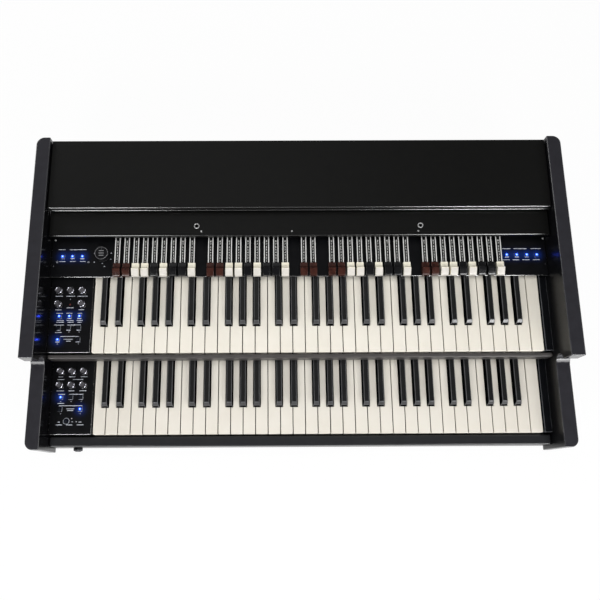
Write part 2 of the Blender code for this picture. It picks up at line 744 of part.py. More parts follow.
def make_drawbar_panel():
    panel = place(
        "drawbar_panel",
        box_mesh(
            (-BOARD_X, DRAWBAR_PANEL_Y, DRAWBAR_PANEL_Z - DRAWBAR_PANEL_THICKNESS),
            (BOARD_X, PANEL_BACK_Y, DRAWBAR_PANEL_Z),
        ),
        "panel_black",
    )
    holes = bmesh.new()
    low = DRAWBAR_PANEL_Z - HOLE_REACH
    high = DRAWBAR_PANEL_Z + HOLE_REACH
    for x, y in left_bank() + right_bank():
        add_button(holes, x, y, BUTTON_CLEARANCE, low, high)
    shaft_hole = KNOB_SHAFT_RADIUS + KNOB_SHAFT_CLEARANCE
    add_cylinder(holes, (SELECTOR_X, selector_y(), 0), shaft_hole, low, high)
    cut(panel, mesh_of(holes))
    last = DRAWBAR_X + (DRAWBAR_SLOTS - 1) * DRAWBAR_PITCH
    board = box_mesh(
        (DRAWBAR_X - SLIDE_BOARD_MARGIN, SHELF_Y + SLIDE_BOARD_MARGIN, DRAWBAR_PANEL_Z + TOUCH_GAP),
        (last + SLIDE_BOARD_MARGIN, SHELF_Y + SLIDE_BOARD_MARGIN + SLIDE_BOARD_DEPTH,
         DRAWBAR_PANEL_Z + SLIDE_BOARD_THICKNESS),
    )
    place("drawbar_slide_board", board, "board_green")


def selector_y():
    return DRAWBAR_PANEL_Y + SELECTOR_SETBACK


def left_bank():
    y = DRAWBAR_PANEL_Y + BANK_BUTTON_SETBACK
    start = -INNER_X + LEFT_BANK_COLUMN
    return [(start + index * LEFT_BANK_PITCH, y) for index in range(LEFT_BANK_BUTTONS)]


def right_bank():
    y = DRAWBAR_PANEL_Y + BANK_BUTTON_SETBACK
    end = INNER_X - RIGHT_BANK_COLUMN
    return [(end - index * RIGHT_BANK_PITCH, y) for index in range(RIGHT_BANK_BUTTONS)]


def add_button(bm, x, y, grow, low, high):
    half = BUTTON_SIZE / 2 + grow
    add_box(bm, (x - half, y - half, low), (x + half, y + half, high))


def make_button_strip(name, spots, surface, thickness, round_spots=()):
    """One moulded pad: a thin web under the panel with a button rising through each hole."""
    web_top = surface - thickness - TOUCH_GAP
    margin = BUTTON_SIZE / 2 + BUTTON_WEB_MARGIN
    xs = [x for x, y in spots + list(round_spots)]
    ys = [y for x, y in spots + list(round_spots)]
    middle = ((min(xs) + max(xs)) / 2, (min(ys) + max(ys)) / 2, web_top)
    web = box_mesh(
        (min(xs) - margin, min(ys) - margin, web_top - BUTTON_WEB),
        (max(xs) + margin, max(ys) + margin, web_top),
    )
    strip = place(name, web, "button_blue", middle)
    bm = bmesh.new()
    for x, y in spots:
        add_button(bm, x, y, 0.0, web_top - BUTTON_WEB / 2, surface + BUTTON_RISE)
    for x, y in round_spots:
        add_cylinder(
            bm, (x, y, 0), ROUND_BUTTON_RADIUS, web_top - BUTTON_WEB / 2, surface + BUTTON_RISE
        )
    fuse(strip, mesh_of(bm))


def make_button_strips():
    panel = DRAWBAR_PANEL_THICKNESS
    make_button_strip("left_bank_buttons", left_bank(), DRAWBAR_PANEL_Z, panel)
    make_button_strip("right_bank_buttons", right_bank(), DRAWBAR_PANEL_Z, panel)
    upper = button_places(UPPER_BUTTONS, UPPER_KEYS_Y)
    make_button_strip("upper_panel_buttons", upper, UPPER_KEYS_Z + PANEL_RISE, PANEL_THICKNESS)
    lower = button_places(LOWER_BUTTONS, LOWER_KEYS_Y)
    make_button_strip(
        "lower_panel_buttons", lower, LOWER_KEYS_Z + PANEL_RISE, PANEL_THICKNESS, round_button_places()
    )


def button_places(grid, front):
    return [
        (-INNER_X + BUTTON_COLUMN + column * BUTTON_PITCH,
         front + BUTTON_BACK_ROW - row * BUTTON_ROW_PITCH)
        for column, row in grid
    ]


def round_button_places():
    return [(-INNER_X + ROUND_BUTTON_COLUMN, LOWER_KEYS_Y + ROUND_BUTTON_SETBACK)]


def knob_places(grid, front):
    return [
        (-INNER_X + KNOB_COLUMN + column * KNOB_PITCH,
         front + KNOB_FRONT_ROW + row * KNOB_ROW_PITCH)
        for column, row in grid
    ]


def make_control_panel(name, front, keys_z, knobs, buttons, round_spots):
    """A plate with a flange down its front edge and a hole for each knob and button."""
    top = keys_z + PANEL_RISE
    y = front + PANEL_FRONT_GAP
    outline = [
        (y, top),
        (y, top - PANEL_FLANGE),
        (y + PANEL_THICKNESS, top - PANEL_FLANGE),
        (y + PANEL_THICKNESS, top - PANEL_THICKNESS),
        (y + PANEL_DEPTH, top - PANEL_THICKNESS),
        (y + PANEL_DEPTH, top),
    ]
    panel = place(name, prism_mesh(outline, "YZ", -BOARD_X, PANEL_RIGHT_X), "panel_black")
    holes = bmesh.new()
    low = top - HOLE_REACH
    high = top + HOLE_REACH
    for x, spot_y in knobs:
        add_cylinder(holes, (x, spot_y, 0), KNOB_SHAFT_RADIUS + KNOB_SHAFT_CLEARANCE, low, high)
    for x, spot_y in buttons:
        add_button(holes, x, spot_y, BUTTON_CLEARANCE, low, high)
    for x, spot_y in round_spots:
        add_cylinder(holes, (x, spot_y, 0), ROUND_BUTTON_RADIUS + BUTTON_CLEARANCE, low, high)
    cut(panel, mesh_of(holes))


def make_end_block(name, front, keys_z):
    top = keys_z + PANEL_RISE
    y = front + PANEL_FRONT_GAP
    block = box_mesh(
        (END_BLOCK_X, y, top - END_BLOCK_HEIGHT),
        (BOARD_X, y + PANEL_DEPTH, top),
    )
    soften(place(name, block, "panel_black"), END_BLOCK_EDGE, 2)


def make_knob(name, x, y, surface, radius, top_radius, height):
    profile = (
        (0.0, KNOB_LIFT + height),
        (top_radius - KNOB_EDGE, KNOB_LIFT + height),
        (top_radius, KNOB_LIFT + height - KNOB_EDGE),
        (radius, KNOB_LIFT + KNOB_SKIRT),
        (radius, KNOB_LIFT),
        (KNOB_SHAFT_RADIUS, KNOB_LIFT),
        (KNOB_SHAFT_RADIUS, -KNOB_SHAFT_DROP),
        (0.0, -KNOB_SHAFT_DROP),
    )
    knob = turned(name, profile, "knob_black", (x, y, surface))
    top = surface + KNOB_LIFT + height
    cut(knob, box_mesh(
        (x - KNOB_MARK_WIDTH / 2, y + radius * KNOB_MARK_START, top - KNOB_MARK_DEPTH),
        (x + KNOB_MARK_WIDTH / 2, y + radius + KNOB_MARK_DEPTH, top + KNOB_MARK_DEPTH),
    ))


def make_controls():
    upper_knobs = knob_places(UPPER_KNOBS, UPPER_KEYS_Y)
    lower_knobs = knob_places(LOWER_KNOBS, LOWER_KEYS_Y)
    make_control_panel(
        "upper_control_panel", UPPER_KEYS_Y, UPPER_KEYS_Z, upper_knobs,
        button_places(UPPER_BUTTONS, UPPER_KEYS_Y), [],
    )
    make_control_panel(
        "lower_control_panel", LOWER_KEYS_Y, LOWER_KEYS_Z, lower_knobs,
        button_places(LOWER_BUTTONS, LOWER_KEYS_Y), round_button_places(),
    )
    make_end_block("upper_end_block", UPPER_KEYS_Y, UPPER_KEYS_Z)
    make_end_block("lower_end_block", LOWER_KEYS_Y, LOWER_KEYS_Z)
    rows = (("upper", upper_knobs, UPPER_KEYS_Z), ("lower", lower_knobs, LOWER_KEYS_Z))
    for manual, knobs, keys_z in rows:
        for number, (x, y) in enumerate(knobs, 1):
            name = f"{manual}_knob_{number}"
            make_knob(name, x, y, keys_z + PANEL_RISE, KNOB_RADIUS, KNOB_TOP_RADIUS, KNOB_HEIGHT)
    make_knob(
        "vibrato_selector", SELECTOR_X, selector_y(), DRAWBAR_PANEL_Z,
        SELECTOR_RADIUS, SELECTOR_TOP_RADIUS, SELECTOR_HEIGHT,
    )


def cap_outline():
    """One drawbar cap from the side: a round front, a crest, and a lower back."""
    low = DRAWBAR_PANEL_Z + CAP_CLEARANCE
    crest = CAP_FRONT_Y + CAP_CREST_SETBACK
    rise = CAP_CREST_HEIGHT - CAP_FRONT_HEIGHT
    front = [
        (crest - CAP_CREST_SETBACK * math.cos(angle), low + CAP_FRONT_HEIGHT + rise * math.sin(angle))
        for angle in (
            math.radians(90 * step / CAP_STEPS) for step in range(CAP_STEPS + 1)
        )
    ]
    return [(CAP_FRONT_Y, low)] + front + [
        (crest + CAP_SLOPE_LENGTH, low + CAP_BACK_HEIGHT),
        (CAP_BACK_Y, low + CAP_BACK_HEIGHT),
        (CAP_BACK_Y, low),
    ]


def stem_comb(xs):
    """The stems of a set seen from above, joined by a bar at their back ends."""
    half = STEM_WIDTH / 2
    front = CAP_BACK_Y - STEM_CAP_OVERLAP
    outline = [(xs[-1] + half, STEM_BACK_Y), (xs[0] - half, STEM_BACK_Y)]
    for index, x in enumerate(xs):
        if index:
            outline.append((x - half, STEM_BACK_Y - STEM_BAR_DEPTH))
        outline += [(x - half, front), (x + half, front)]
        if index < len(xs) - 1:
            outline.append((x + half, STEM_BACK_Y - STEM_BAR_DEPTH))
    return outline


def make_drawbar_set(name, first, count):
    xs = [DRAWBAR_X + (first + index) * DRAWBAR_PITCH for index in range(count)]
    low = DRAWBAR_PANEL_Z + STEM_RISE
    origin = ((xs[0] + xs[-1]) / 2, CAP_BACK_Y, low)
    stems = prism_mesh(stem_comb(xs), "XY", low, low + STEM_THICKNESS)
    bars = place(name, stems, "knob_black", origin)
    half = CAP_WIDTH / 2
    fuse(bars, joined_mesh([prism_mesh(cap_outline(), "YZ", x - half, x + half) for x in xs]))


def make_drawbars():
    names = (
        "upper_drawbars_left", "upper_drawbars_right", "pedal_drawbars",
        "lower_drawbars_left", "lower_drawbars_right",
    )
    for name, (first, count) in zip(names, DRAWBAR_GROUPS):
        make_drawbar_set(name, first, count)


def sharp_centres():
    """The X centre of every sharp of one manual, keyed by the natural on its left."""
    centres = {}
    for octave in range(OCTAVES):
        for left, spread in SHARPS:
            natural = 7 * octave + left
            centres[natural] = KEYS_X + (natural + 1) * NATURAL_PITCH + spread * SHARP_SPREAD
    return centres


def slot_end(share, front):
    """Where a slot ends at this share of the comb's width: the bar grows deeper to its ends."""
    return front + KEY_LENGTH - HINGE_BAR_DEPTH - HINGE_BAR_BOW * (share - 0.5) ** 2


def natural_comb(first, last, front):
    """The naturals first to last seen from above, joined by the hinge bar behind them."""
    centres = sharp_centres()
    notch = SHARP_WIDTH / 2 + SHARP_CLEARANCE
    head = front + NATURAL_HEAD
    back = front + KEY_LENGTH
    outline = []
    for natural in range(first, last):
        end_left = slot_end((natural - first) / (last - first), front)
        end_right = slot_end((natural + 1 - first) / (last - first), front)
        left = KEYS_X + natural * NATURAL_PITCH + NATURAL_GAP / 2
        right = KEYS_X + (natural + 1) * NATURAL_PITCH - NATURAL_GAP / 2
        tail_left = centres[natural - 1] + notch if natural - 1 in centres else left
        tail_right = centres[natural] - notch if natural in centres else right
        outline.append((tail_left, back if natural == first else end_left))
        if tail_left > left:
            outline += [(tail_left, head), (left, head)]
        outline += [(left, front), (right, front)]
        if tail_right < right:
            outline += [(right, head), (tail_right, head)]
        outline.append((tail_right, back if natural == last - 1 else end_right))
    return outline


def make_naturals(name, first, last, front, top):
    origin = (KEYS_X + (first + last) / 2 * NATURAL_PITCH, front + HINGE_SETBACK,
              top - NATURAL_THICKNESS / 2)
    mesh = prism_mesh(natural_comb(first, last, front), "XY", top - NATURAL_THICKNESS, top)
    comb = place(name, mesh, "ivory", origin)
    lips = []
    for natural in range(first, last):
        left = KEYS_X + natural * NATURAL_PITCH + NATURAL_GAP / 2 + LIP_INSET
        right = KEYS_X + (natural + 1) * NATURAL_PITCH - NATURAL_GAP / 2 - LIP_INSET
        lips.append((
            (left, front + LIP_INSET, top - NATURAL_LIP),
            (right, front + NATURAL_LIP_DEPTH, top - NATURAL_THICKNESS / 2),
        ))
    fuse(comb, boxes_mesh(lips))


def sharp_mesh(x, front, top):
    """One sharp: upright sides below the naturals' tops, sloped sides and front above."""
    outline = [
        (x - SHARP_WIDTH / 2, top - SHARP_DEPTH),
        (x + SHARP_WIDTH / 2, top - SHARP_DEPTH),
        (x + SHARP_WIDTH / 2, top),
        (x + SHARP_TOP_WIDTH / 2, top + SHARP_HEIGHT),
        (x - SHARP_TOP_WIDTH / 2, top + SHARP_HEIGHT),
        (x - SHARP_WIDTH / 2, top),
    ]
    start = front + SHARP_FRONT
    mesh = prism_mesh(outline, "XZ", start, start + SHARP_LENGTH)
    for vert in mesh.vertices:
        if vert.co.y < start + WELD and vert.co.z > top + SHARP_HEIGHT - WELD:
            vert.co.y += SHARP_SLOPE
    return mesh


def sharp_comb(xs, front):
    """The hinge bar of a group of sharps with a strap forward to each one."""
    half = SHARP_STRAP_WIDTH / 2
    back = front + KEY_LENGTH
    bar = back - HINGE_BAR_DEPTH + SHARP_BAR_SETBACK
    tip = front + SHARP_FRONT + SHARP_LENGTH - SHARP_STRAP_OVERLAP
    outline = [(xs[-1] + half, back), (xs[0] - half, back)]
    for index, x in enumerate(xs):
        if index:
            outline.append((x - half, bar))
        outline += [(x - half, tip), (x + half, tip)]
        if index < len(xs) - 1:
            outline.append((x + half, bar))
    return outline


def make_sharps(name, first, last, front, top):
    xs = [x for natural, x in sorted(sharp_centres().items()) if first <= natural < last]
    low = top + SHARP_BAR_RISE
    origin = ((xs[0] + xs[-1]) / 2, front + HINGE_SETBACK, low + SHARP_BAR_THICKNESS / 2)
    bar = prism_mesh(sharp_comb(xs, front), "XY", low, low + SHARP_BAR_THICKNESS)
    comb = place(name, bar, "sharp_black", origin)
    fuse(comb, joined_mesh([sharp_mesh(x, front, top) for x in xs]))


def make_manual(manual, front, top):
    for group, octave, count in KEY_GROUP_OCTAVES:
        first = 7 * octave
        last = 7 * (octave + count)
        top_c = 1 if last == 7 * OCTAVES else 0
        make_naturals(f"{manual}_naturals_{group}", first, last + top_c, front, top)
        make_sharps(f"{manual}_sharps_{group}", first, last, front, top)


def make_key_frame(name, front, top):
    """The chassis under a manual: a tray with a stop rail in front and a hinge rail behind."""
    low = top - FRAME_DROP - FRAME_THICKNESS
    deck = top - FRAME_DROP
    hinge = front + HINGE_SETBACK - HINGE_RIDGE_DEPTH / 2
    reach = HINGE_SETBACK - STOP_SETBACK
    drop = reach * math.sin(math.radians(KEY_TRAVEL_DEG))
    stop = top - NATURAL_THICKNESS - drop - STOP_CLEARANCE
    ridge = top - NATURAL_THICKNESS - HINGE_RIDGE_CLEARANCE
    outline = [
        (front + FRAME_FRONT, low),
        (front + KEY_LENGTH + FRAME_BACK, low),
        (front + KEY_LENGTH + FRAME_BACK, deck),
        (hinge + HINGE_RIDGE_DEPTH, deck),
        (hinge + HINGE_RIDGE_DEPTH, ridge),
        (hinge, ridge),
        (hinge, deck),
        (front + STOP_SETBACK + STOP_DEPTH, deck),
        (front + STOP_SETBACK + STOP_DEPTH, stop),
        (front + STOP_SETBACK, stop),
        (front + STOP_SETBACK, deck),
        (front + FRAME_FRONT, deck),
    ]
    place(name, prism_mesh(outline, "YZ", -BOARD_X, BOARD_X), "frame_grey")


def make_main_board():
    low = BASE_TOP_Z + BOARD_STANDOFF
    x = REAR_PLATE_CENTRE
    y = INSIDE_Y
    board = box_mesh(
        (x - BOARD_WIDTH / 2, y - BOARD_DEPTH / 2, low),
        (x + BOARD_WIDTH / 2, y + BOARD_DEPTH / 2, low + BOARD_THICKNESS),
    )
    main = place("main_board", board, "board_green")
    bm = bmesh.new()
    for side_x in (-1, 1):
        for side_y in (-1, 1):
            spot = (
                x + side_x * (BOARD_WIDTH / 2 - STANDOFF_INSET),
                y + side_y * (BOARD_DEPTH / 2 - STANDOFF_INSET),
                0,
            )
            add_cylinder(
                bm, spot, STANDOFF_RADIUS, BASE_TOP_Z, low + BOARD_THICKNESS / 2, "Z", STANDOFF_STEPS
            )
    for index in (-1, 0, 1):
        chip = x + index * 2 * BOARD_CHIP
        add_box(
            bm, (chip - BOARD_CHIP / 2, y - BOARD_CHIP / 2, low + BOARD_THICKNESS / 2),
            (chip + BOARD_CHIP / 2, y + BOARD_CHIP / 2, low + BOARD_THICKNESS + BOARD_CHIP_HEIGHT),
        )
    fuse(main, mesh_of(bm))


def make_power_supply():
    wide = SUPPLY_WIDTH / 2
    deep = SUPPLY_DEPTH / 2
    outline = [
        (INLET_CENTRE - wide - SUPPLY_FLANGE, BASE_TOP_Z),
        (INLET_CENTRE + wide + SUPPLY_FLANGE, BASE_TOP_Z),
        (INLET_CENTRE + wide + SUPPLY_FLANGE, BASE_TOP_Z + SUPPLY_FLANGE_THICKNESS),
        (INLET_CENTRE + wide, BASE_TOP_Z + SUPPLY_FLANGE_THICKNESS),
        (INLET_CENTRE + wide, BASE_TOP_Z + SUPPLY_HEIGHT),
        (INLET_CENTRE - wide, BASE_TOP_Z + SUPPLY_HEIGHT),
        (INLET_CENTRE - wide, BASE_TOP_Z + SUPPLY_FLANGE_THICKNESS),
        (INLET_CENTRE - wide - SUPPLY_FLANGE, BASE_TOP_Z + SUPPLY_FLANGE_THICKNESS),
    ]
    place("power_supply", prism_mesh(outline, "XZ", INSIDE_Y - deep, INSIDE_Y + deep), "steel")


def make_feet():
    profile = (
        (0.0, FOOT_HEIGHT - TOUCH_GAP),
        (FOOT_RADIUS, FOOT_HEIGHT - TOUCH_GAP),
        (FOOT_RADIUS, FOOT_CHAMFER),
        (FOOT_RADIUS - FOOT_CHAMFER, 0.0),
        (0.0, 0.0),
    )
    for name_y, y in (("front", FRONT_Y + FOOT_INSET_Y), ("back", BACK_Y - FOOT_INSET_Y)):
        for name_x, side in (("left", -1), ("right", 1)):
            x = side * (CASE_WIDTH / 2 - FOOT_INSET_X)
            turned(f"{name_y}_{name_x}_foot", profile, "rubber", (x, y, 0.0), "Z", FOOT_STEPS)


def main():
    clear_scene()
    collection(PARTS)
    collection(CUTTERS)
    make_cheeks()
    make_boards()
    make_stand_sockets()
    make_rails()
    make_headphone_jack()
    make_rear_sockets()
    make_mains_inlet()
    make_drawbar_panel()
    make_button_strips()
    make_controls()
    make_drawbars()
    for manual, front, top in (
        ("upper", UPPER_KEYS_Y, UPPER_KEYS_Z), ("lower", LOWER_KEYS_Y, LOWER_KEYS_Z),
    ):
        make_manual(manual, front, top)
        make_key_frame(manual + "_key_frame", front, top)
    make_main_board()
    make_power_supply()
    make_feet()


main()
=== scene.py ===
"""Dual-manual drawbar organ: the fine forms and looks of its pieces, the camera, the lights, the floor."""

import math

import bmesh
import bpy
import numpy as np
from mathutils import Matrix, Vector


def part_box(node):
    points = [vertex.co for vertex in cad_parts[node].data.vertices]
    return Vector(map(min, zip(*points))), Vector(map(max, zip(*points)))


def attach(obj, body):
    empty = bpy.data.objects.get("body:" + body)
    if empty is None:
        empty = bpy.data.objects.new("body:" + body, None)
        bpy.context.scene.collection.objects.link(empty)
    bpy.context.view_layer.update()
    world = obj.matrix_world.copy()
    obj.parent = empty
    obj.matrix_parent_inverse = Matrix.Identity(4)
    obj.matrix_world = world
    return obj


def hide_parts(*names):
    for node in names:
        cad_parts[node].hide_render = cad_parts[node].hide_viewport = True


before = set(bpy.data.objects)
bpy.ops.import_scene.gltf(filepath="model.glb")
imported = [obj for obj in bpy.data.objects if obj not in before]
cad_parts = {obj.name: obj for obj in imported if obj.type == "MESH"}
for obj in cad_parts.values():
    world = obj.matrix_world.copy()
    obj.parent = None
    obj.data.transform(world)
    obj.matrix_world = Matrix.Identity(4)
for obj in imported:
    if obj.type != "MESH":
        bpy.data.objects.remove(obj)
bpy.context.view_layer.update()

SCENE = bpy.context.scene
LOOKS = {}

# Two faces whose directions differ by less than this, in radians, count as one flat face
FLAT_ANGLE = 0.5

# Case
CHEEK_LOW, CHEEK_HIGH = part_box("right_cheek")
INNER_X, OUTER_X = CHEEK_LOW.x, CHEEK_HIGH.x
FRONT_Y, BACK_Y = CHEEK_LOW.y, CHEEK_HIGH.y
UPPER_CHEEK_Y = -0.1355
LOWER_CHEEK_Z = 0.1205
COVE_RADIUS = 0.0185
COVE_REACH = 0.007
CORNER_RADIUS = 0.015
LID_NOSE = 0.0009
LID_STEP = 0.0011
LID_LIP = 0.0042
SHELF_THICKNESS = 0.012
SHELF_RISER = 0.006
SHELF_SCREWS = ((-0.1857, 0.1094), (-0.0147, 0.1095), (0.2236, 0.1088))

# Holes: radii, how far a drill sticks out, and how far from a bore the board is cut across
STAND_BORE = 0.0049
JACK_BORE = 0.005
SHAFT_BORE = 0.0034
ROUND_BORE = 0.0056
DRILL_REACH = 0.01
BORE_STRIP = 0.012

# Keys
NATURALS = 36
PITCH = 0.165 / 7
KEY_GAP = 0.0008
COMB_GAP = 0.0005
SHARPS = ((0, -1), (1, 1), (3, -1.2), (4, 0), (5, 1.2))
SHARP_SPREAD = 0.0022
SHARP_WIDTH = 0.0132
SHARP_TOP_WIDTH = 0.0096
SHARP_HEIGHT = 0.012
SHARP_LENGTH = 0.099
SHARP_DEPTH = 0.006
SHARP_CROWN = 0.0004
SHARP_KNEE = 0.007
STRAP = 0.004
HEAD = 0.05
KEY_THICKNESS = 0.004
LIP_HEIGHT = 0.017
LIP_DEPTH = 0.0035
KEY_LENGTH = 0.204
KEY_BACK = 0.19
KEYS_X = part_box("upper_naturals_low")[0].x - COMB_GAP
SHARP_CENTRES = {
    7 * octave + left: KEYS_X + (7 * octave + left + 1) * PITCH + spread * SHARP_SPREAD
    for octave in range(5) for left, spread in SHARPS
}
GROUPS = (("low", 0, 14), ("middle", 14, 28), ("high", 28, 36))
MANUALS = {
    name: (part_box(name + "_naturals_low")[0].y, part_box(name + "_naturals_low")[1].z)
    for name in ("upper", "lower")
}

# Controls
BUTTON = 0.0096
BUTTON_SLACK = 0.0004
WEB = 0.0012
ROUND_BUTTON = (-INNER_X + 0.0326, MANUALS["lower"][0] + 0.0255)
LAMP = (-0.4357, -0.0203, MANUALS["upper"][1] + 0.0017)
KNOB_GRIDS = {
    "upper": ((0, 1), (1, 1), (2, 1), (0, 0), (2, 0)),
    "lower": ((0, 1), (1, 1), (2, 1), (0, 0), (1, 0), (2, 0)),
}
BUTTON_GRIDS = {
    "upper": ((0, 0), (1, 0), (2, 0), (0, 1), (1, 1), (2, 1), (0, 2), (2, 2)),
    "lower": ((0, 0), (1, 0), (2, 0), (0, 1), (2, 1)),
}
LIT = {"upper": ((0, 0), (1, 0), (2, 0), (0, 2)), "lower": ((0, 0), (2, 1))}

# Drawbars
DRAWBAR_Y, DRAWBAR_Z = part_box("drawbar_panel")[0].y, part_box("drawbar_panel")[1].z
DRAWBAR_X = -INNER_X + 0.1277
DRAWBAR_PITCH = (2 * INNER_X - 0.1277 - 0.094) / 41
SETS = (
    ("upper_drawbars_left", 0, 9), ("upper_drawbars_right", 10, 9), ("pedal_drawbars", 20, 2),
    ("lower_drawbars_left", 23, 9), ("lower_drawbars_right", 33, 9),
)
CAP_COLOURS = "BBWWKWKKW"
CAP_LOOKS = {
    "B": ("cap_brown", "cap_brown"), "W": ("cap_ivory", "cap_ivory_front_painted_shade"), "K": ("cap_black", "cap_black"),
}
CAP_WIDTH = DRAWBAR_PITCH - 0.0037
CAP_FRONT = DRAWBAR_Y - 0.001
CAP_BACK = CAP_FRONT + 0.026
STEM_WIDTH = 0.0105
STEM_BOTTOM, STEM_TOP = DRAWBAR_Z + 0.0035, DRAWBAR_Z + 0.0085
STEM_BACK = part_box("upper_drawbars_left")[1].y
DIGIT_SIZE = 0.0052
DIGIT_PITCH = 0.0056
BANKS = {
    "left": [(-INNER_X + 0.022 + i * 0.0188, 0.07) for i in range(3)],
    "right": [(INNER_X - 0.0196 - i * 0.0192, 0.07) for i in range(4)],
}
SELECTOR = (DRAWBAR_X - 0.0295, DRAWBAR_Y + 0.044)
SELECTOR_TICKS = (
    (-0.3761, 0.0887), (-0.392, 0.0772), (-0.3913, 0.0592), (-0.3758, 0.0566), (-0.3716, 0.0505),
    (-0.3598, 0.0769), (-0.36, 0.0649),
)
PANEL_SCREWS = (
    (-0.4682, 0.1035, "satin_nickel"), (-0.4694, 0.052, "knob_chrome"),
    (0.4697, 0.1035, "satin_nickel"), (0.47, 0.052, "knob_chrome"),
)
PANEL_RINGS = ((-0.4619, 0.0596), (-0.4026, 0.0592))

# Printed marks in rows, in tenths of a millimetre: the middle Y, then the left and right end of each bar
TENTH = 0.0001
LEGENDS = {
    "upper": (
        (-40, -4642, -4507, -4440, -4276), (-41, -4228, -4036), (-268, -4423, -4289),
        (-306, -4632, -4516, -4191, -4086),
        (-374, -4607, -4483, -4416, -4301, -4205, -4120),
        (-513, -4590, -4460, -4406, -4272, -4215, -4101),
        (-547, -4594, -4451, -4384, -4270, -4194, -4118),
        (-600, -4629, -4447, -4390, -4133), (-744, -4599, -4485),
        (-735, -4352, -4337, -4162, -4147), (-821, -4498, -4157), (-874, -4437, -4267),
        (-910, -4387, -4302), (-963, -4552, -4537, -4161, -4146),
    ),
    "lower": (
        (-1512, -4616, -4529, -4413, -4296, -4190, -4064),
        (-1564, -4632, -4506, -4341, -4139),
        (-1780, -4636, -4491, -4414, -4299, -4202, -4068),
        (-1846, -4603, -4468, -4391, -4121),
        (-1983, -4551, -4535, -4353, -4337, -4161, -4146),
        (-2017, -4600, -4475), (-2062, -4568, -4128), (-2121, -4430, -4277),
        (-2152, -4409, -4294), (-2213, -4539, -4524, -4166, -4151), (-2302, -4323, -4304),
        (-2362, -4310, -4290, -4233, -4214), (-2368, -4576, -4529, -4176, -4128),
        (-2420, -4611, -4487, -4411, -4296, -4211, -4087),
    ),
    "bank": (
        (843, -4609, -4473, -4395, -4076),
        (606, -4581, -4465, -4378, -4272, -4185, -4079),
        (828, 3898, 4053, 4112, 4365, 4444, 4639),
        (604, 3886, 4022, 4080, 4206, 4264, 4400, 4468, 4595),
    ),
}
BAR_HEIGHT = 0.0011
PRINT_DEPTH = 0.0002
PRINT_RISE = 0.00006

# Camera: angles in degrees, then the lens in mm
CAMERA_PLACE = (-0.0565168, -0.3524965, 1.4207369)
CAMERA_YAW, CAMERA_PITCH, CAMERA_ROLL = 1.11211238, 75.08962728, 0.81973593
CAMERA_LENS = 42.4826
CAMERA_SHIFT = (0.04399168, -0.00654374)


# Meshes

def finish_mesh(bm):
    mesh = bpy.data.meshes.new("mesh")
    bmesh.ops.recalc_face_normals(bm, faces=bm.faces)
    bm.to_mesh(mesh)
    bm.free()
    return mesh


def join_rings(bm, near, far):
    """Walls between two closed rings with equally many corners."""
    count = len(near)
    for i in range(count):
        j = (i + 1) % count
        bm.faces.new((near[i], near[j], far[j], far[i]))


def add_rings(bm, rings):
    """Closed rings of points, one behind the other, joined by walls and shut at both ends."""
    made = [[bm.verts.new(point) for point in ring] for ring in rings]
    bm.faces.new(made[0])
    bm.faces.new(made[-1][::-1])
    for near, far in zip(made, made[1:]):
        join_rings(bm, near, far)


def add_prism(bm, outline, plane, low, high):
    """A flat outline in the XY or YZ plane, drawn out along the third axis."""
    order = {"XY": (0, 1, 2), "YZ": (2, 0, 1)}[plane]
    add_rings(bm, [[[(u, v, depth)[k] for k in order] for u, v in outline] for depth in (low, high)])


def prism(outline, plane, low, high):
    bm = bmesh.new()
    add_prism(bm, outline, plane, low, high)
    return finish_mesh(bm)


def boxes(*pairs):
    """Boxes in one mesh, each given by its low and its high corner."""
    bm = bmesh.new()
    for (left, front, bottom), (right, back, top) in pairs:
        add_prism(bm, [(left, front), (right, front), (right, back), (left, back)], "XY", bottom, top)
    return finish_mesh(bm)


def add_lathe(bm, profile, centre, steps, flutes=0, depth=0.0, axis="Z"):
    """Turns (radius, along) pairs about an axis; flutes are grooves in the pairs that have a third value."""
    rings = []
    for radius, along, *grooved in profile:
        ring = []
        for step in range(steps if radius > 0 else 1):
            angle = 2 * math.pi * step / steps
            reach = radius
            if grooved:
                reach -= depth * (0.5 - 0.5 * math.cos(flutes * angle)) ** 3
            u, v = reach * math.cos(angle), reach * math.sin(angle)
            point = (u, v, along) if axis == "Z" else (u, along, v)
            ring.append(bm.verts.new([a + b for a, b in zip(centre, point)]))
        rings.append(ring)
    for one, two in zip(rings, rings[1:]):
        for step in range(steps):
            after = (step + 1) % steps
            corners = (one, step), (one, after), (two, after), (two, step)
            bm.faces.new(list(dict.fromkeys(ring[i % len(ring)] for ring, i in corners)))


def lathe(profile, centre, steps, flutes=0, depth=0.0, axis="Z"):
    bm = bmesh.new()
    add_lathe(bm, profile, centre, steps, flutes, depth, axis)
    return finish_mesh(bm)


def drill(radius, low, high):
    """The profile of a rod that sticks out past both places."""
    low, high = low - DRILL_REACH, high + DRILL_REACH
    return [(0, low), (radius, low), (radius, high), (0, high)]


def collar(inner, outer, low, high, taper=0.0):
    """The profile of a ring that may narrow towards its top."""
    return [(inner, low), (outer, low), (outer - taper, high), (inner + taper, high), (inner, low)]


def carve(mesh, tool):
    """The mesh without what the tool's mesh covers."""
    work = bpy.data.objects.new("work", mesh)
    knife = bpy.data.objects.new("knife", tool)
    for obj in (work, knife):
        SCENE.collection.objects.link(obj)
    modifier = work.modifiers.new("Cut", "BOOLEAN")
    modifier.operation = "DIFFERENCE"
    modifier.solver = "EXACT"
    modifier.object = knife
    graph = bpy.context.evaluated_depsgraph_get()
    made = bpy.data.meshes.new_from_object(work.evaluated_get(graph))
    bpy.data.objects.remove(work)
    bpy.data.objects.remove(knife)
    return made


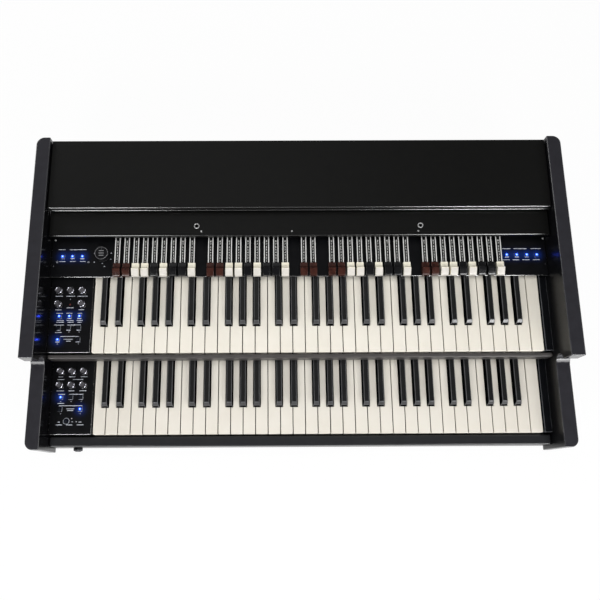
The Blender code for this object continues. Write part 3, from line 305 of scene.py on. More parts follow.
def slice_mesh(mesh, xs, ys):
    """Cuts the faces along lines of equal X and of equal Y."""
    bm = bmesh.new()
    bm.from_mesh(mesh)
    for normal, places in ((Vector((1, 0, 0)), xs), (Vector((0, 1, 0)), ys)):
        for value in places:
            everything = bm.verts[:] + bm.edges[:] + bm.faces[:]
            bmesh.ops.bisect_plane(bm, geom=everything, dist=1e-6, plane_co=normal * value, plane_no=normal)
    bm.to_mesh(mesh)
    bm.free()


def steps_between(low, high, gap):
    count = max(1, round((high - low) / gap))
    return [low + (high - low) * i / count for i in range(1, count)]


def arc(centre, radius, start, end, steps):
    points = []
    for step in range(steps + 1):
        angle = math.radians(start + (end - start) * step / steps)
        points.append((centre[0] + radius * math.cos(angle), centre[1] + radius * math.sin(angle)))
    return points


def rounded_square(x, y, half, radius):
    points = []
    for turn, (sx, sy) in enumerate(((1, 1), (-1, 1), (-1, -1), (1, -1))):
        centre = (x + sx * (half - radius), y + sy * (half - radius))
        points += arc(centre, radius, 90 * turn, 90 * turn + 90, 5)
    return points


def middle(node):
    return [(low + high) / 2 for low, high in zip(*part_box(node))]


# Materials

class Nodes:
    """The nodes of a material or a world."""

    def __init__(self, owner):
        owner.use_nodes = True
        self.tree = owner.node_tree

    def fill(self, node, inputs):
        """Each input gets a plain value or is linked to another node's output."""
        for key, value in inputs.items():
            if isinstance(value, bpy.types.NodeSocket):
                self.tree.links.new(value, node.inputs[key])
            else:
                node.inputs[key].default_value = value

    def add(self, kind, inputs, **settings):
        node = self.tree.nodes.new("ShaderNode" + kind)
        for key, value in settings.items():
            setattr(node, key, value)
        self.fill(node, inputs)
        return node.outputs

    def noise(self, scale, detail=4.0, stretch=(1.0, 1.0, 1.0)):
        place = self.add("TexCoord", {})["Object"]
        mapped = self.add("Mapping", {"Vector": place, "Scale": stretch})["Vector"]
        return self.add("TexNoise", {"Vector": mapped, "Scale": scale, "Detail": detail})["Fac"]

    def ramp(self, source, *stops):
        """The colour at each stop is given in thousandths."""
        colour = self.add("ValToRGB", {"Fac": source})["Color"]
        elements = colour.node.color_ramp.elements
        while len(elements) < len(stops):
            elements.new(0.5)
        for element, (place, shade) in zip(elements, stops):
            element.position = place
            element.color = (*(value / 1000 for value in shade), 1.0)
        return colour

    def drift(self, source, low, high):
        """A value between the two, by where the noise stands in its usual range."""
        ends = {"From Min": 0.3, "From Max": 0.7, "To Min": low, "To Max": high}
        return self.add("MapRange", {"Value": source, **ends})["Result"]


def start_look(name):
    LOOKS[name] = bpy.data.materials.new(name)
    nodes = Nodes(LOOKS[name])
    return nodes, nodes.tree.nodes["Principled BSDF"]


def grey(value):
    return (value,) * 3


def finish(name, dark, light, rough, specular, grain_depth=2e-5, metallic=0.0, shade=60.0, grain=1500.0,
           stretch=(1.0, 1.0, 1.0), glow=False):
    """A surface whose colour and roughness drift a little and whose grain is a fine bump."""
    nodes, shader = start_look(name)
    fine = nodes.noise(grain, 3.0, stretch)
    nodes.fill(shader, {
        "Specular IOR Level": specular,
        "Metallic": metallic,
        "Base Color": nodes.ramp(nodes.noise(shade, 5.0), (0.3, dark), (0.7, light)),
        "Roughness": nodes.drift(nodes.noise(shade * 3, 6.0, stretch), *rough),
        "Normal": nodes.add("Bump", {"Strength": 0.35, "Distance": grain_depth, "Height": fine})["Normal"],
    })
    if glow:
        spill = nodes.add("Attribute", {}, attribute_name="glow")
        nodes.fill(shader, {"Emission Color": spill["Color"], "Emission Strength": 1.0})


def lamp(name, edge, core, strength):
    """A lit lens: the colour runs from its edge to its core by how far the surface tilts up."""
    nodes, shader = start_look(name)
    normal = nodes.add("NewGeometry", {})["Normal"]
    tilt = nodes.add("SeparateXYZ", {"Vector": normal})["Z"]
    speckle = nodes.add("Math", {0: nodes.noise(900.0), 1: 0.15, 2: tilt}, operation="MULTIPLY_ADD")
    nodes.fill(shader, {
        "Emission Color": nodes.ramp(speckle["Value"], (0.75, edge), (1.0, core)),
        "Emission Strength": strength,
        "Base Color": nodes.ramp(nodes.noise(400.0), (0.3, edge), (0.7, core)),
        "Roughness": 0.2,
    })


def make_case_looks():
    """Each look: darkest and lightest colour in thousandths, roughness range, specular level, grain depth."""
    finish("cheek_satin", (22.5, 22, 26), (26.5, 26, 31), (0.16, 0.22), 0.5, 8e-7)
    # The inner faces of the cheeks get a far darker copy of the cheek paint: painted shade. The right one is
    # also rougher.
    finish("cheek_inner_painted_shade", (3, 3, 3.6), (5, 5, 6), (0.13, 0.17), 0.27, 5e-7)
    finish("cheek_dull_painted_shade", (3, 3, 3.6), (5, 5, 6), (0.28, 0.34), 0.22, 5e-7)
    # The rounded edges of the cheeks: glossier, and lighter in colour as a painted highlight.
    finish("cheek_edge_painted_highlight", (30, 30, 34), (45, 45, 50), (0.14, 0.2), 1.0, 1e-6)
    finish("board_satin", (3.8, 3.8, 3.6), (4.5, 4.5, 4.2), (0.28, 0.31), 0.5, 1e-6)
    finish("board_edge", grey(100), grey(130), (0.14, 0.2), 1.0, 8e-7, metallic=1.0)
    finish("lid_edge", grey(440), grey(510), (0.16, 0.19), 1.0, 8e-7, metallic=1.0)
    finish("rail_grey", (52, 48.5, 47.5), (65, 60, 58), (0.3, 0.38), 0.4, 3e-6)
    finish("front_rail_satin", (15, 15.4, 17), (17.6, 18, 19.9), (0.28, 0.31), 0.4, 1.5e-6)
    finish("panel_paint", (2.8, 2.9, 3.6), (4.4, 4.6, 5.6), (0.3, 0.38), 0.3, 3e-6, glow=True)
    finish("panel_front", (3, 3, 3.4), (4.5, 4.5, 5), (0.1, 0.14), 0.7, 5e-7)
    finish("panel_edge", grey(340), grey(400), (0.25, 0.28), 0.5, 1e-6, metallic=1.0)
    finish("block_paint", (3.6, 3.8, 4.8), (5.8, 6.2, 7.8), (0.16, 0.24), 0.4, 2e-6)
    # The rounded edges of the end blocks: a light grey strip, a painted highlight.
    finish("block_edge_painted_highlight", (80, 83, 90), (105, 108, 116), (0.2, 0.26), 0.4, 1e-6)


def make_key_looks():
    finish("key_ivory", (765, 722, 632), (800, 760, 675), (0.16, 0.24), 0.45, 1e-6, shade=18.0)
    # The lower manual's keys get a slightly darker copy of the ivory: painted shade that evens out the
    # stronger light on them.
    finish("key_ivory_lower", (710, 668, 590), (742, 704, 630), (0.16, 0.24), 0.45, 1e-6, shade=18.0)
    finish("key_black", (10, 10.1, 10.4), (12.5, 12.6, 13), (0.1, 0.16), 0.5, 6e-7)
    # The sloped front part of the sharps: a grey copy of the black key look, painted reflection.
    finish("key_black_slope_painted_reflection", (50, 49, 50), (68, 67, 69), (0.12, 0.18), 0.42, 6e-7)
    # The rounded edges of the sharps: a light grey strip, painted highlight.
    finish("key_black_edge_painted_highlight", (80, 81, 85), (100, 101, 106), (0.2, 0.26), 0.4, 6e-7)
    # The sides and steep front of the sharps: an almost black copy of the black key look, painted shade.
    finish("key_black_side_painted_shade", (1, 1, 1.2), (1.8, 1.8, 2), (0.4, 0.5), 0.0, 1e-6)
    finish("cap_ivory", (880, 830, 680), (940, 900, 760), (0.14, 0.2), 0.5, 1e-6, shade=90.0)
    # The front faces of the ivory caps get a darker copy of the ivory: painted shade that evens out the
    # stronger light on the front slope.
    finish("cap_ivory_front_painted_shade", (610, 580, 530), (680, 650, 600), (0.16, 0.22), 0.5, 1e-6, shade=90.0)
    finish("cap_brown", (26, 8, 6), (58, 19, 13), (0.1, 0.16), 0.6, 1e-6, shade=110.0)
    finish("cap_black", (3, 3, 4), (6, 6, 7), (0.1, 0.13), 1.0, 1e-6)
    finish("stem_black", grey(2), grey(4), (0.4, 0.5), 0.25)


def make_control_looks():
    finish("print_white", (660, 660, 640), (780, 780, 760), (0.5, 0.6), 0.3, shade=300.0)
    finish("print_grey", (440, 460, 520), (660, 690, 760), (0.5, 0.6), 0.3, shade=500.0)
    finish("pointer_grey", (80, 80, 90), (140, 140, 150), (0.4, 0.5), 0.3, shade=500.0)
    finish("knob_black", (6, 6, 7), (10, 10, 11), (0.16, 0.22), 0.6, 2e-6)
    finish("dial_black", (4, 4, 5), (7, 7, 8), (0.34, 0.42), 0.25, 3e-6)
    finish("dial_print", (220, 220, 230), (320, 320, 330), (0.5, 0.6), 0.3, shade=500.0)
    finish("knob_chrome", (190, 190, 210), (260, 260, 290), (0.2, 0.26), 0.5, 1e-6, metallic=1.0)
    finish("knob_disc", (60, 58, 66), (85, 82, 92), (0.24, 0.32), 0.5, 2e-6, stretch=(1, 1, 8))
    finish("button_smoke", (4, 5, 9), (8, 10, 16), (0.1, 0.16), 0.8, 1e-6, glow=True)
    # The chamfers of the buttons: a metal-like grey copy as painted highlight, and a brighter copy on the
    # ones facing right as painted glint.
    finish("button_edge_painted_highlight", (100, 105, 120), (140, 145, 160), (0.2, 0.26), 0.8, 1e-6, metallic=1.0)
    finish("button_side_painted_glint", (170, 180, 200), (240, 250, 280), (0.26, 0.32), 0.8, 1e-6, metallic=1.0)
    finish("pad_rubber", (10, 12, 18), (16, 18, 26), (0.6, 0.7), 0.3)
    lamp("lens_blue", (4, 26, 1000), (50, 90, 1000), 14.0)
    lamp("lens_red", (50, 4, 3), (160, 20, 12), 0.1)


def make_metal_looks():
    finish("turned_steel", (550, 550, 560), (720, 720, 730), (0.22, 0.34), 0.5, 4e-6, metallic=1.0,
           stretch=(1, 1, 20))
    finish("satin_nickel", grey(400), grey(500), (0.34, 0.44), 0.5, 2e-6, metallic=0.45, stretch=(1, 1, 20))
    finish("black_steel", (50, 50, 55), (90, 90, 95), (0.28, 0.4), 0.5, 4e-6, metallic=1.0)
    finish("rear_anodised", (18, 18, 20), (28, 28, 30), (0.38, 0.48), 0.4, 6e-6, metallic=0.6,
           stretch=(1, 1, 12))
    finish("circuit_green", (8, 70, 26), (16, 120, 45), (0.34, 0.46), 0.5, 4e-5, shade=140.0, grain=500.0)
    finish("folded_sheet", (420, 430, 430), (560, 570, 570), (0.34, 0.46), 0.5, 6e-6, metallic=1.0,
           stretch=(1, 12, 1))
    finish("frame_grey", grey(50), grey(80), (0.5, 0.62), 0.4)
    finish("foot_rubber", grey(10), grey(18), (0.72, 0.84), 0.3, 6e-5, grain=700.0)
    finish("base_black", grey(10), grey(16), (0.5, 0.6), 0.3, grain=900.0)
    finish("pin_brass", (600, 420, 160), (760, 560, 240), (0.2, 0.3), 0.5, metallic=1.0)


# Pieces

def piece(name, mesh, looks, node=None, body="case", sharp=35.0):
    """A new piece at the origin: its looks, its shading, the body it rides on and the node it stands for."""
    obj = bpy.data.objects.new(name, mesh)
    SCENE.collection.objects.link(obj)
    for look in [looks] if isinstance(looks, str) else looks:
        mesh.materials.append(LOOKS[look])
    mesh.shade_smooth()
    mesh.set_sharp_from_angle(angle=math.radians(sharp))
    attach(obj, body)
    if node:
        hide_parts(node)
    return obj


def soften(obj, width, segments=3, angle=40.0, weights=False, edge=None):
    """Rounds the edges; edge names the look that the rounded strips get."""
    modifier = obj.modifiers.new("Edges", "BEVEL")
    if edge:
        obj.data.materials.append(LOOKS[edge])
        modifier.material = len(obj.data.materials) - 1
    modifier.width = width
    modifier.segments = segments
    modifier.limit_method = "WEIGHT" if weights else "ANGLE"
    modifier.angle_limit = math.radians(angle)
    modifier.harden_normals = True
    modifier.miter_outer = "MITER_ARC"


def weigh(mesh, weight):
    """Gives each edge the bevel weight that the function says."""
    bm = bmesh.new()
    bm.from_mesh(mesh)
    layer = bm.edges.layers.float.new("bevel_weight_edge")
    for edge in bm.edges:
        edge[layer] = weight(edge)
    bm.to_mesh(mesh)
    bm.free()


def weigh_rim(mesh):
    """Weighs the sharp edges at the mesh's outer sides, and leaves the edges of holes as they are."""
    sides = [(k, pick(vert.co[k] for vert in mesh.vertices)) for k in (0, 1) for pick in (min, max)]

    def weight(edge):
        at_side = all(any(abs(vert.co[k] - place) < 1e-5 for k, place in sides) for vert in edge.verts)
        return float(at_side and edge.is_manifold and edge.calc_face_angle() > FLAT_ANGLE)

    weigh(mesh, weight)


# Case

def cheek_outline():
    cove = (UPPER_CHEEK_Y - COVE_REACH, LOWER_CHEEK_Z + COVE_RADIUS)
    end = 90 - math.degrees(math.asin(COVE_REACH / COVE_RADIUS))
    corners = [
        (FRONT_Y, LOWER_CHEEK_Z), (FRONT_Y, CHEEK_LOW.z), (BACK_Y, CHEEK_LOW.z), (BACK_Y, CHEEK_HIGH.z),
        (UPPER_CHEEK_Y, CHEEK_HIGH.z),
    ]
    return corners + arc(cove, COVE_RADIUS, end, -90, 24)


def make_cheeks():
    for name, side in (("left_cheek", -1), ("right_cheek", 1)):
        low, high = sorted((side * INNER_X, side * OUTER_X))
        bm = bmesh.new()
        add_prism(bm, cheek_outline(), "YZ", low, high)
        chosen = [
            edge for edge in bm.edges
            if all(abs(vert.co.x - side * OUTER_X) < 1e-6 for vert in edge.verts)
            and any(all(abs(vert.co.y - end) < 1e-6 for vert in edge.verts) for end in (FRONT_Y, BACK_Y))
        ]
        bmesh.ops.bevel(bm, geom=chosen, offset=CORNER_RADIUS, segments=10, profile=0.5, affect="EDGES")
        mesh = finish_mesh(bm)
        # Faces that look inwards take the darker copy of the paint: painted shade on the inner sides.
        for face in mesh.polygons:
            face.material_index = 1 if face.normal.x * side < -0.9 else 0
        inner = "cheek_inner_painted_shade" if side < 0 else "cheek_dull_painted_shade"
        cheek = piece(name + "_panel", mesh, ("cheek_satin", inner), name)
        # The rounded edges take the lighter strip: painted highlight.
        soften(cheek, 0.0016, 4, 50, edge="cheek_edge_painted_highlight")


def make_lid():
    """The lid with a step behind its front edge, which leaves a lip that stands out a little."""
    low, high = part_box("top_lid")
    lip, nose, step = low.z + LID_LIP, low.y - LID_NOSE, low.y + LID_STEP
    outline = [(nose, low.z), (high.y, low.z), (high.y, high.z), (step, high.z), (step, lip), (nose, lip)]
    mesh = prism(outline, "YZ", low.x, high.x)
    weigh(mesh, lambda edge: float(edge.is_convex))
    lid = piece("top_lid_board", mesh, "board_satin", "top_lid")
    soften(lid, 0.0007, 4, weights=True, edge="lid_edge")


def make_plain_boards():
    plain = ("upper_front_rail", "rail_grey", 0.0025), ("base_panel", "base_black", 0.001)
    for node, look, width in plain:
        soften(piece(node + "_board", boxes(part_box(node)), look, node), width, 4)


def make_lower_rail():
    low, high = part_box("lower_front_rail")
    x, _, z = middle("headphone_jack")
    tool = lathe(drill(JACK_BORE, low.y, high.y), (x, 0.0, z), 32, axis="Y")
    mesh = carve(boxes((low, high)), tool)
    slice_mesh(mesh, (x - BORE_STRIP, x + BORE_STRIP), ())
    weigh_rim(mesh)
    rail = piece("lower_front_rail_board", mesh, "front_rail_satin", "lower_front_rail")
    soften(rail, 0.003, 5, weights=True)


def make_shelf():
    low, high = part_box("music_shelf")
    top, riser = low.z + SHELF_THICKNESS, high.y - SHELF_RISER
    outline = [
        (low.y, low.z), (high.y, low.z), (high.y, high.z), (riser, high.z), (riser, top), (low.y, top),
    ]
    bores = bmesh.new()
    cuts = []
    for side in ("left", "right"):
        x, y, _ = middle(side + "_stand_socket")
        add_lathe(bores, drill(STAND_BORE, low.z, high.z), (x, y, 0.0), 32)
        cuts += [x - BORE_STRIP, x + BORE_STRIP]
    mesh = carve(prism(outline, "YZ", low.x, high.x), finish_mesh(bores))
    slice_mesh(mesh, cuts, ())
    weigh_rim(mesh)
    shelf = piece("music_shelf_board", mesh, "board_satin", "music_shelf")
    soften(shelf, 0.0026, 4, weights=True, edge="board_edge")
    for number, (x, y) in enumerate(SHELF_SCREWS, 1):
        make_screw(f"shelf_screw_{number}", (x, y, top), 0.0017, "satin_nickel")


def make_stand_sockets():
    for side in ("left", "right"):
        node = side + "_stand_socket"
        low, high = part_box(node)
        x, y, _ = middle(node)
        place = (x, y, high.z)
        foot = low.z - high.z
        bush = [
            (0.0, -0.0098), (0.0034, -0.0098), (0.0034, -0.0009), (0.0036, -0.0004), (0.004, -0.0001),
            (0.00435, 0.0), (0.0047, -0.0001), (0.0051, -0.0004), (0.0053, -0.0009), (0.0053, -0.0014),
            (0.0046, -0.0014), (0.0046, foot), (0.0, foot),
        ]
        piece(node + "_bush", lathe(bush, place, 64), "satin_nickel", node)
        liner = [
            (0.0, -0.0096), (0.00335, -0.0096), (0.00335, -0.0012), (0.003, -0.0012), (0.003, -0.0092),
            (0.0, -0.0092),
        ]
        piece(node + "_liner", lathe(liner, place, 48), "stem_black")


def make_jack():
    low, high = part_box("headphone_jack")
    x, _, z = middle("headphone_jack")
    back = high.y - low.y
    profile = [
        (0.0, 0.026), (0.0032, 0.026), (0.0032, 0.0012), (0.004, 0.0002), (0.0052, 0.0), (0.0056, 0.001),
        (0.0078, 0.0012, 1), (0.0085, 0.0022, 1), (0.0085, 0.0066, 1), (0.008, 0.0075, 1), (0.0047, 0.0075),
        (0.0047, back), (0.0, back),
    ]
    mesh = lathe(profile, (x, low.y, z), 96, 32, 0.0007, "Y")
    piece("headphone_jack_nut", mesh, "black_steel", "headphone_jack")


def make_screw(name, place, radius, look, tilt=0.0):
    """A pan-head screw with a cross in it; tilt turns it about X, in degrees."""
    rise = radius * 0.45
    steps = 8
    profile = [(0.0, -radius * 0.3), (radius, -radius * 0.3), (radius, rise * 0.25)]
    for step in range(1, steps):
        angle = math.radians(90 * step / steps)
        profile.append((radius * math.cos(angle), rise * (0.25 + 0.75 * math.sin(angle))))
    head = lathe(profile + [(0.0, rise)], (0.0, 0.0, 0.0), 32)
    long, thin = radius * 0.62, radius * 0.14
    cross = [
        (-thin, -long), (thin, -long), (thin, -thin), (long, -thin), (long, thin), (thin, thin),
        (thin, long), (-thin, long), (-thin, thin), (-long, thin), (-long, -thin), (-thin, -thin),
    ]
    mesh = carve(head, prism(cross, "XY", rise * 0.3, rise * 2))
    mesh.transform(Matrix.Translation(place) @ Matrix.Rotation(math.radians(tilt), 4, "X"))
    piece(name, mesh, look)


# Control panels

def glow_at(x, y, lights, wide, near):
    """Blue light that the lit buttons spill here, as a near and a wide patch round each."""
    total = np.zeros(3)
    patches = (near, 0.0026, (0.06, 0.17, 0.55)), (wide, 0.0085, (0.003, 0.03, 0.24))
    for light in lights:
        away = math.dist(light, (x, y))
        for share, reach, colour in patches:
            total += share * math.exp(-((away / reach) ** 2)) * np.array(colour)
    return total


def paint_glow(mesh, lights, top, wide, near):
    layer = mesh.color_attributes.new("glow", "FLOAT_COLOR", "POINT")
    for vert, item in zip(mesh.vertices, layer.data):
        colour = np.zeros(3)
        if vert.co.z > top - 0.001:
            colour = glow_at(vert.co.x, vert.co.y, lights, wide, near)
        item.color = (*colour, 1.0)


def add_button_holes(bm, spots, top):
    for x, y in spots:
        outline = rounded_square(x, y, BUTTON / 2 + BUTTON_SLACK, 0.0012)
        add_prism(bm, outline, "XY", top - DRILL_REACH, top + DRILL_REACH)


def button_spots(manual):
    front = MANUALS[manual][0]
    return {
        (column, row): (-INNER_X + 0.0193 + column * 0.019, front + 0.07 - row * 0.0225)
        for column, row in BUTTON_GRIDS[manual]
    }


def knob_spots(manual):
    front = MANUALS[manual][0]
    return [(-INNER_X + 0.0175 + c * 0.0221, front + 0.0927 + r * 0.0262) for c, r in KNOB_GRIDS[manual]]


def make_control_panel(manual):
    node = manual + "_control_panel"
    low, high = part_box(node)
    top, under, behind = high.z, high.z - 0.0025, low.y + 0.0025
    outline = [
        (low.y, top), (low.y, low.z), (behind, low.z), (behind, under), (high.y, under), (high.y, top),
    ]
    spots = button_spots(manual)
    holes = bmesh.new()
    add_button_holes(holes, spots.values(), top)
    if manual == "lower":
        add_lathe(holes, drill(ROUND_BORE, top, top), (*ROUND_BUTTON, 0.0), 32)
    for x, y in knob_spots(manual):
        add_lathe(holes, drill(SHAFT_BORE, top, top), (x, y, 0.0), 24)
    mesh = carve(prism(outline, "YZ", low.x, high.x), finish_mesh(holes))
    margin, gap = 0.004, 0.0016
    xs = steps_between(low.x + margin, high.x - margin, gap)
    slice_mesh(mesh, xs, steps_between(low.y + margin, high.y - 0.04, gap))
    lights = [spots[key] for key in LIT[manual]]
    paint_glow(mesh, lights, top, 0.66, 0.0)
    weigh_rim(mesh)
    plate = piece(node + "_plate", mesh, "panel_paint", node)
    soften(plate, 0.0008, 3, weights=True, edge="panel_edge")
    make_buttons(manual + "_panel_buttons", spots.values(), lights)
    if manual == "lower":
        make_round_button("lower_panel_buttons", top)
    make_legend(manual + "_panel_legend", LEGENDS[manual], top)


def make_legend(name, rows, top):
    """Plain bars where the labels are."""
    half = BAR_HEIGHT / 2
    bars = []
    for row in rows:
        y, *ends = (value * TENTH for value in row)
        for left, right in zip(ends[::2], ends[1::2]):
            bars.append(((left, y - half, top - PRINT_DEPTH), (right, y + half, top + PRINT_RISE)))
    piece(name, boxes(*bars), "print_grey")


def button_mesh(x, y, low, high, lights):
    """A square key with a sloped rim, its top cut small enough to carry the light spill."""
    skirt = rounded_square(x, y, BUTTON / 2, 0.0011)
    crown = rounded_square(x, y, BUTTON / 2 - 0.0009, 0.0005)
    bm = bmesh.new()
    layers = ((skirt, low), (skirt, high - 0.0007), (crown, high))
    add_rings(bm, [[(u, v, z) for u, v in outline] for outline, z in layers])
    mesh = finish_mesh(bm)
    inner = BUTTON / 2 - 0.0008
    slice_mesh(mesh, steps_between(x - inner, x + inner, 0.001), steps_between(y - inner, y + inner, 0.001))
    paint_glow(mesh, lights, high, 0.9, 1.0)
    # Chamfer faces that face right take the brighter copy as painted glint; the other chamfers take the grey
    # copy as painted highlight.
    for face in mesh.polygons:
        if 0.3 < face.normal.z < 0.95:
            face.material_index = 2 if face.normal.x > 0.3 else 1
    return mesh


def make_buttons(node, spots, lights):
    """The keys of a button pad, the lenses of the lit ones, and the rubber web under the plate."""
    low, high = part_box(node)
    web = boxes((low, (high.x, high.y, low.z + WEB)))
    soften(piece(node + "_web", web, "pad_rubber", node, node), 0.0004, 2)
    dome = [(0.0, -0.0002), (0.0017, -0.0002), (0.0016, 0.00015), (0.0009, 0.0003), (0.0, 0.00035)]
    for number, spot in enumerate(spots, 1):
        lit = [light for light in lights if math.dist(light, spot) < 0.001]
        mesh = button_mesh(*spot, low.z + WEB / 2, high.z, lit)
        looks = ("button_smoke", "button_edge_painted_highlight", "button_side_painted_glint")
        key = piece(f"{node}_key_{number}", mesh, looks, node, node)
        soften(key, 0.00015, 2, 25)
        if lit:
            lens = lathe(dome, (spot[0], spot[1] + 0.0006, high.z), 24)
            piece(f"{node}_lens_{number}", lens, "lens_blue", body=node, sharp=80)


def make_round_button(node, top):
    low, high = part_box(node)
    foot = low.z + WEB / 2 - high.z
    profile = [
        (0.0, foot), (0.0052, foot), (0.0052, -0.0005), (0.0048, 0.0), (0.004, 0.0), (0.0034, -0.0004),
        (0.0, -0.0006),
    ]
    mesh = lathe(profile, (*ROUND_BUTTON, high.z), 48)
    paint_glow(mesh, [], high.z, 0.0, 0.0)
    piece(node + "_round_key", mesh, "button_smoke", node, node)
    ring = collar(0.0054, 0.0061, -0.0004, 0.00025, 0.0001)
    piece(node + "_round_ring", lathe(ring, (*ROUND_BUTTON, top), 48), "print_grey")


def make_knob(node, radius, top, seat, flutes, shoulder, dip, looks, band=None):
    """A fluted body, a ring, the disc in its top and its pointer; all heights count from the top."""
    low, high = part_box(node)
    x, y, _ = middle(node)
    place = (x, y, high.z)
    foot = low.z - high.z
    profile = [
        (0.0, foot), (0.003, foot), (0.003, seat), (radius - 0.0003, seat), (radius, seat + 0.0004),
        (radius, seat + 0.0016), (radius - 0.0006, seat + 0.002), (radius - 0.0007, seat + 0.0024, 1),
        (top + 0.0001, -0.0018, 1), *shoulder, (0.0, -0.0015),
    ]
    piece(node + "_body", lathe(profile, place, 144, flutes, 0.0004), looks[0], node, node, 50)
    if band:
        piece(node + "_ring", lathe(band, place, 64), "knob_chrome", node, node, 12)
    inner = shoulder[-1][0]
    disc = [
        (0.0, dip - 0.0008), (inner, dip - 0.0008), (inner, dip), (inner * 0.6, dip - 0.00012),
        (inner * 0.3, dip - 0.0002), (0.0, dip - 0.00022),
    ]
    piece(node + "_disc", lathe(disc, place, 64), looks[1], node, node, 60)
    half = 0.0003
    start, end = y + radius * 0.5, y + top - 0.0002
    mark = boxes(((x - half, start, high.z - 0.0012), (x + half, end, high.z - 0.00002)))
    soften(piece(node + "_pointer", mark, "pointer_grey", node, body=node), 0.0002, 2)
    return place


def make_small_knob(node):
    top, inner = 0.007, 0.0046
    shoulder = [(top - 0.0001, -0.0015), (inner, -0.0015)]
    band = [
        (inner, -0.0015), (top + 0.0001, -0.0015), (top + 0.0001, -0.0011), (top - 0.0011, 0.0),
        (top - 0.0013, 0.0), (inner, -0.001), (inner, -0.0015),
    ]
    make_knob(node, 0.0075, top, -0.011, 24, shoulder, -0.001, ("knob_black", "knob_disc"), band)


def make_selector():
    node = "vibrato_selector"
    top = 0.0125
    shoulder = [
        (top, -0.0012), (top - 0.0003, -0.0005), (top - 0.0009, -0.0001), (top - 0.0013, 0.0),
        (top - 0.0017, -0.0001),
    ]
    x, y, z = make_knob(node, 0.0135, top, -0.013, 36, shoulder, -0.00012, ("dial_black", "dial_black"))
    ring = [(0.0116, -0.0009), (0.0121, -0.0009), (0.0121, -0.00002), (0.0116, -0.0001), (0.0116, -0.0009)]
    piece(node + "_ring", lathe(ring, (x, y, z), 96), "dial_print", body=node)
    bars = []
    for offset, half in ((0.0046, 0.0044), (0.0, 0.005), (-0.0046, 0.0044)):
        row = y + offset
        bars.append(((x - half, row - 0.0006, z - 0.0012), (x + half, row + 0.0006, z - 0.0001)))
    piece(node + "_bars", boxes(*bars), "dial_print", body=node)
    ticks = []
    for x, y in SELECTOR_TICKS:
        low = (x - 0.0011, y - 0.0006, DRAWBAR_Z - PRINT_DEPTH)
        ticks.append((low, (x + 0.0011, y + 0.0006, DRAWBAR_Z + PRINT_RISE)))
    piece("selector_ticks", boxes(*ticks), "print_grey")


def make_panel_lamp():
    top = LAMP[2]
    dome = [(0.0, -0.0005), (0.0016, -0.0005), (0.0015, 0.0004), (0.0009, 0.0008), (0.0, 0.0009)]
    piece("panel_lamp", lathe(dome, LAMP, 32), "lens_red", sharp=80)
    ring = collar(0.0017, 0.0023, -0.0004, 0.0003, 0.0001)
    piece("panel_lamp_collar", lathe(ring, LAMP, 32), "knob_black")
    arrow = [(-0.4366, -0.0095), (-0.435, -0.0095), (-0.4358, -0.0113)]
    piece("panel_arrow", prism(arrow, "XY", top - PRINT_DEPTH, top + PRINT_RISE), "print_grey")


def make_end_blocks():
    for manual in MANUALS:
        node = manual + "_end_block"
        block = piece(node + "_cheek", boxes(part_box(node)), "block_paint", node)
        # The rounded edges take the light grey strip: painted highlight.
        soften(block, 0.0009, 3, edge="block_edge_painted_highlight")


# Drawbars

def make_drawbar_panel():
    low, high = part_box("drawbar_panel")
    top = high.z
    lights = BANKS["left"] + BANKS["right"]
    holes = bmesh.new()
    add_button_holes(holes, lights, top)
    add_lathe(holes, drill(SHAFT_BORE, top, top), (*SELECTOR, 0.0), 24)
    mesh = carve(boxes((low, high)), finish_mesh(holes))
    margin, gap = 0.004, 0.0018
    xs = steps_between(-INNER_X + margin, -0.386, gap) + steps_between(0.368, INNER_X - margin, gap)
    slice_mesh(mesh, xs, steps_between(0.046, 0.096, gap))
    paint_glow(mesh, lights, top, 0.62, 0.0)
    weigh_rim(mesh)
    for face in mesh.polygons:
        face.material_index = 1 if face.normal.y < -0.9 and face.center.y < low.y + 0.001 else 0
    plate = piece("drawbar_panel_plate", mesh, ("panel_paint", "panel_front"), "drawbar_panel")
    soften(plate, 0.0012, 3, weights=True, edge="panel_edge")
    for side, spots in BANKS.items():
        make_buttons(side + "_bank_buttons", spots, spots)
    make_legend("bank_legend", LEGENDS["bank"], top)
    for number, (x, y, look) in enumerate(PANEL_SCREWS, 1):
        make_screw(f"panel_screw_{number}", (x, y, top), 0.0021, look)
    ring = collar(0.0013, 0.0018, -0.0002, 0.0001)
    for number, (x, y) in enumerate(PANEL_RINGS, 1):
        piece(f"panel_ring_{number}", lathe(ring, (x, y, top), 32), "print_grey")


def cap_outline():
    """One cap from the side: a round front edge, a plain slope up to the crest and a dip behind it."""
    front, low = CAP_FRONT, DRAWBAR_Z + 0.002
    edge = arc((front + 0.0031, low + 0.0063), 0.0029, 180, 117, 8)
    crest = [(front + 0.0116, low + 0.0138), (front + 0.0124, low + 0.0142), (front + 0.0132, low + 0.0143)]
    dip = []
    for step in range(1, 9):
        share = step / 8
        drop = 0.0056 * (3 * share ** 2 - 2 * share ** 3)
        dip.append((front + 0.0132 + 0.0046 * share, low + 0.0143 - drop))
    return [(front + 0.0002, low), *edge, *crest, *dip, (CAP_BACK, low + 0.0087), (CAP_BACK, low)]


def digit_mesh(text):
    curve = bpy.data.curves.new("digit", "FONT")
    curve.body = text
    curve.size = DIGIT_SIZE
    curve.align_x = "CENTER"
    curve.align_y = "CENTER"
    curve.extrude = 0.00008
    obj = bpy.data.objects.new("digit", curve)
    SCENE.collection.objects.link(obj)
    graph = bpy.context.evaluated_depsgraph_get()
    mesh = bpy.data.meshes.new_from_object(obj.evaluated_get(graph))
    bpy.data.objects.remove(obj)
    return mesh


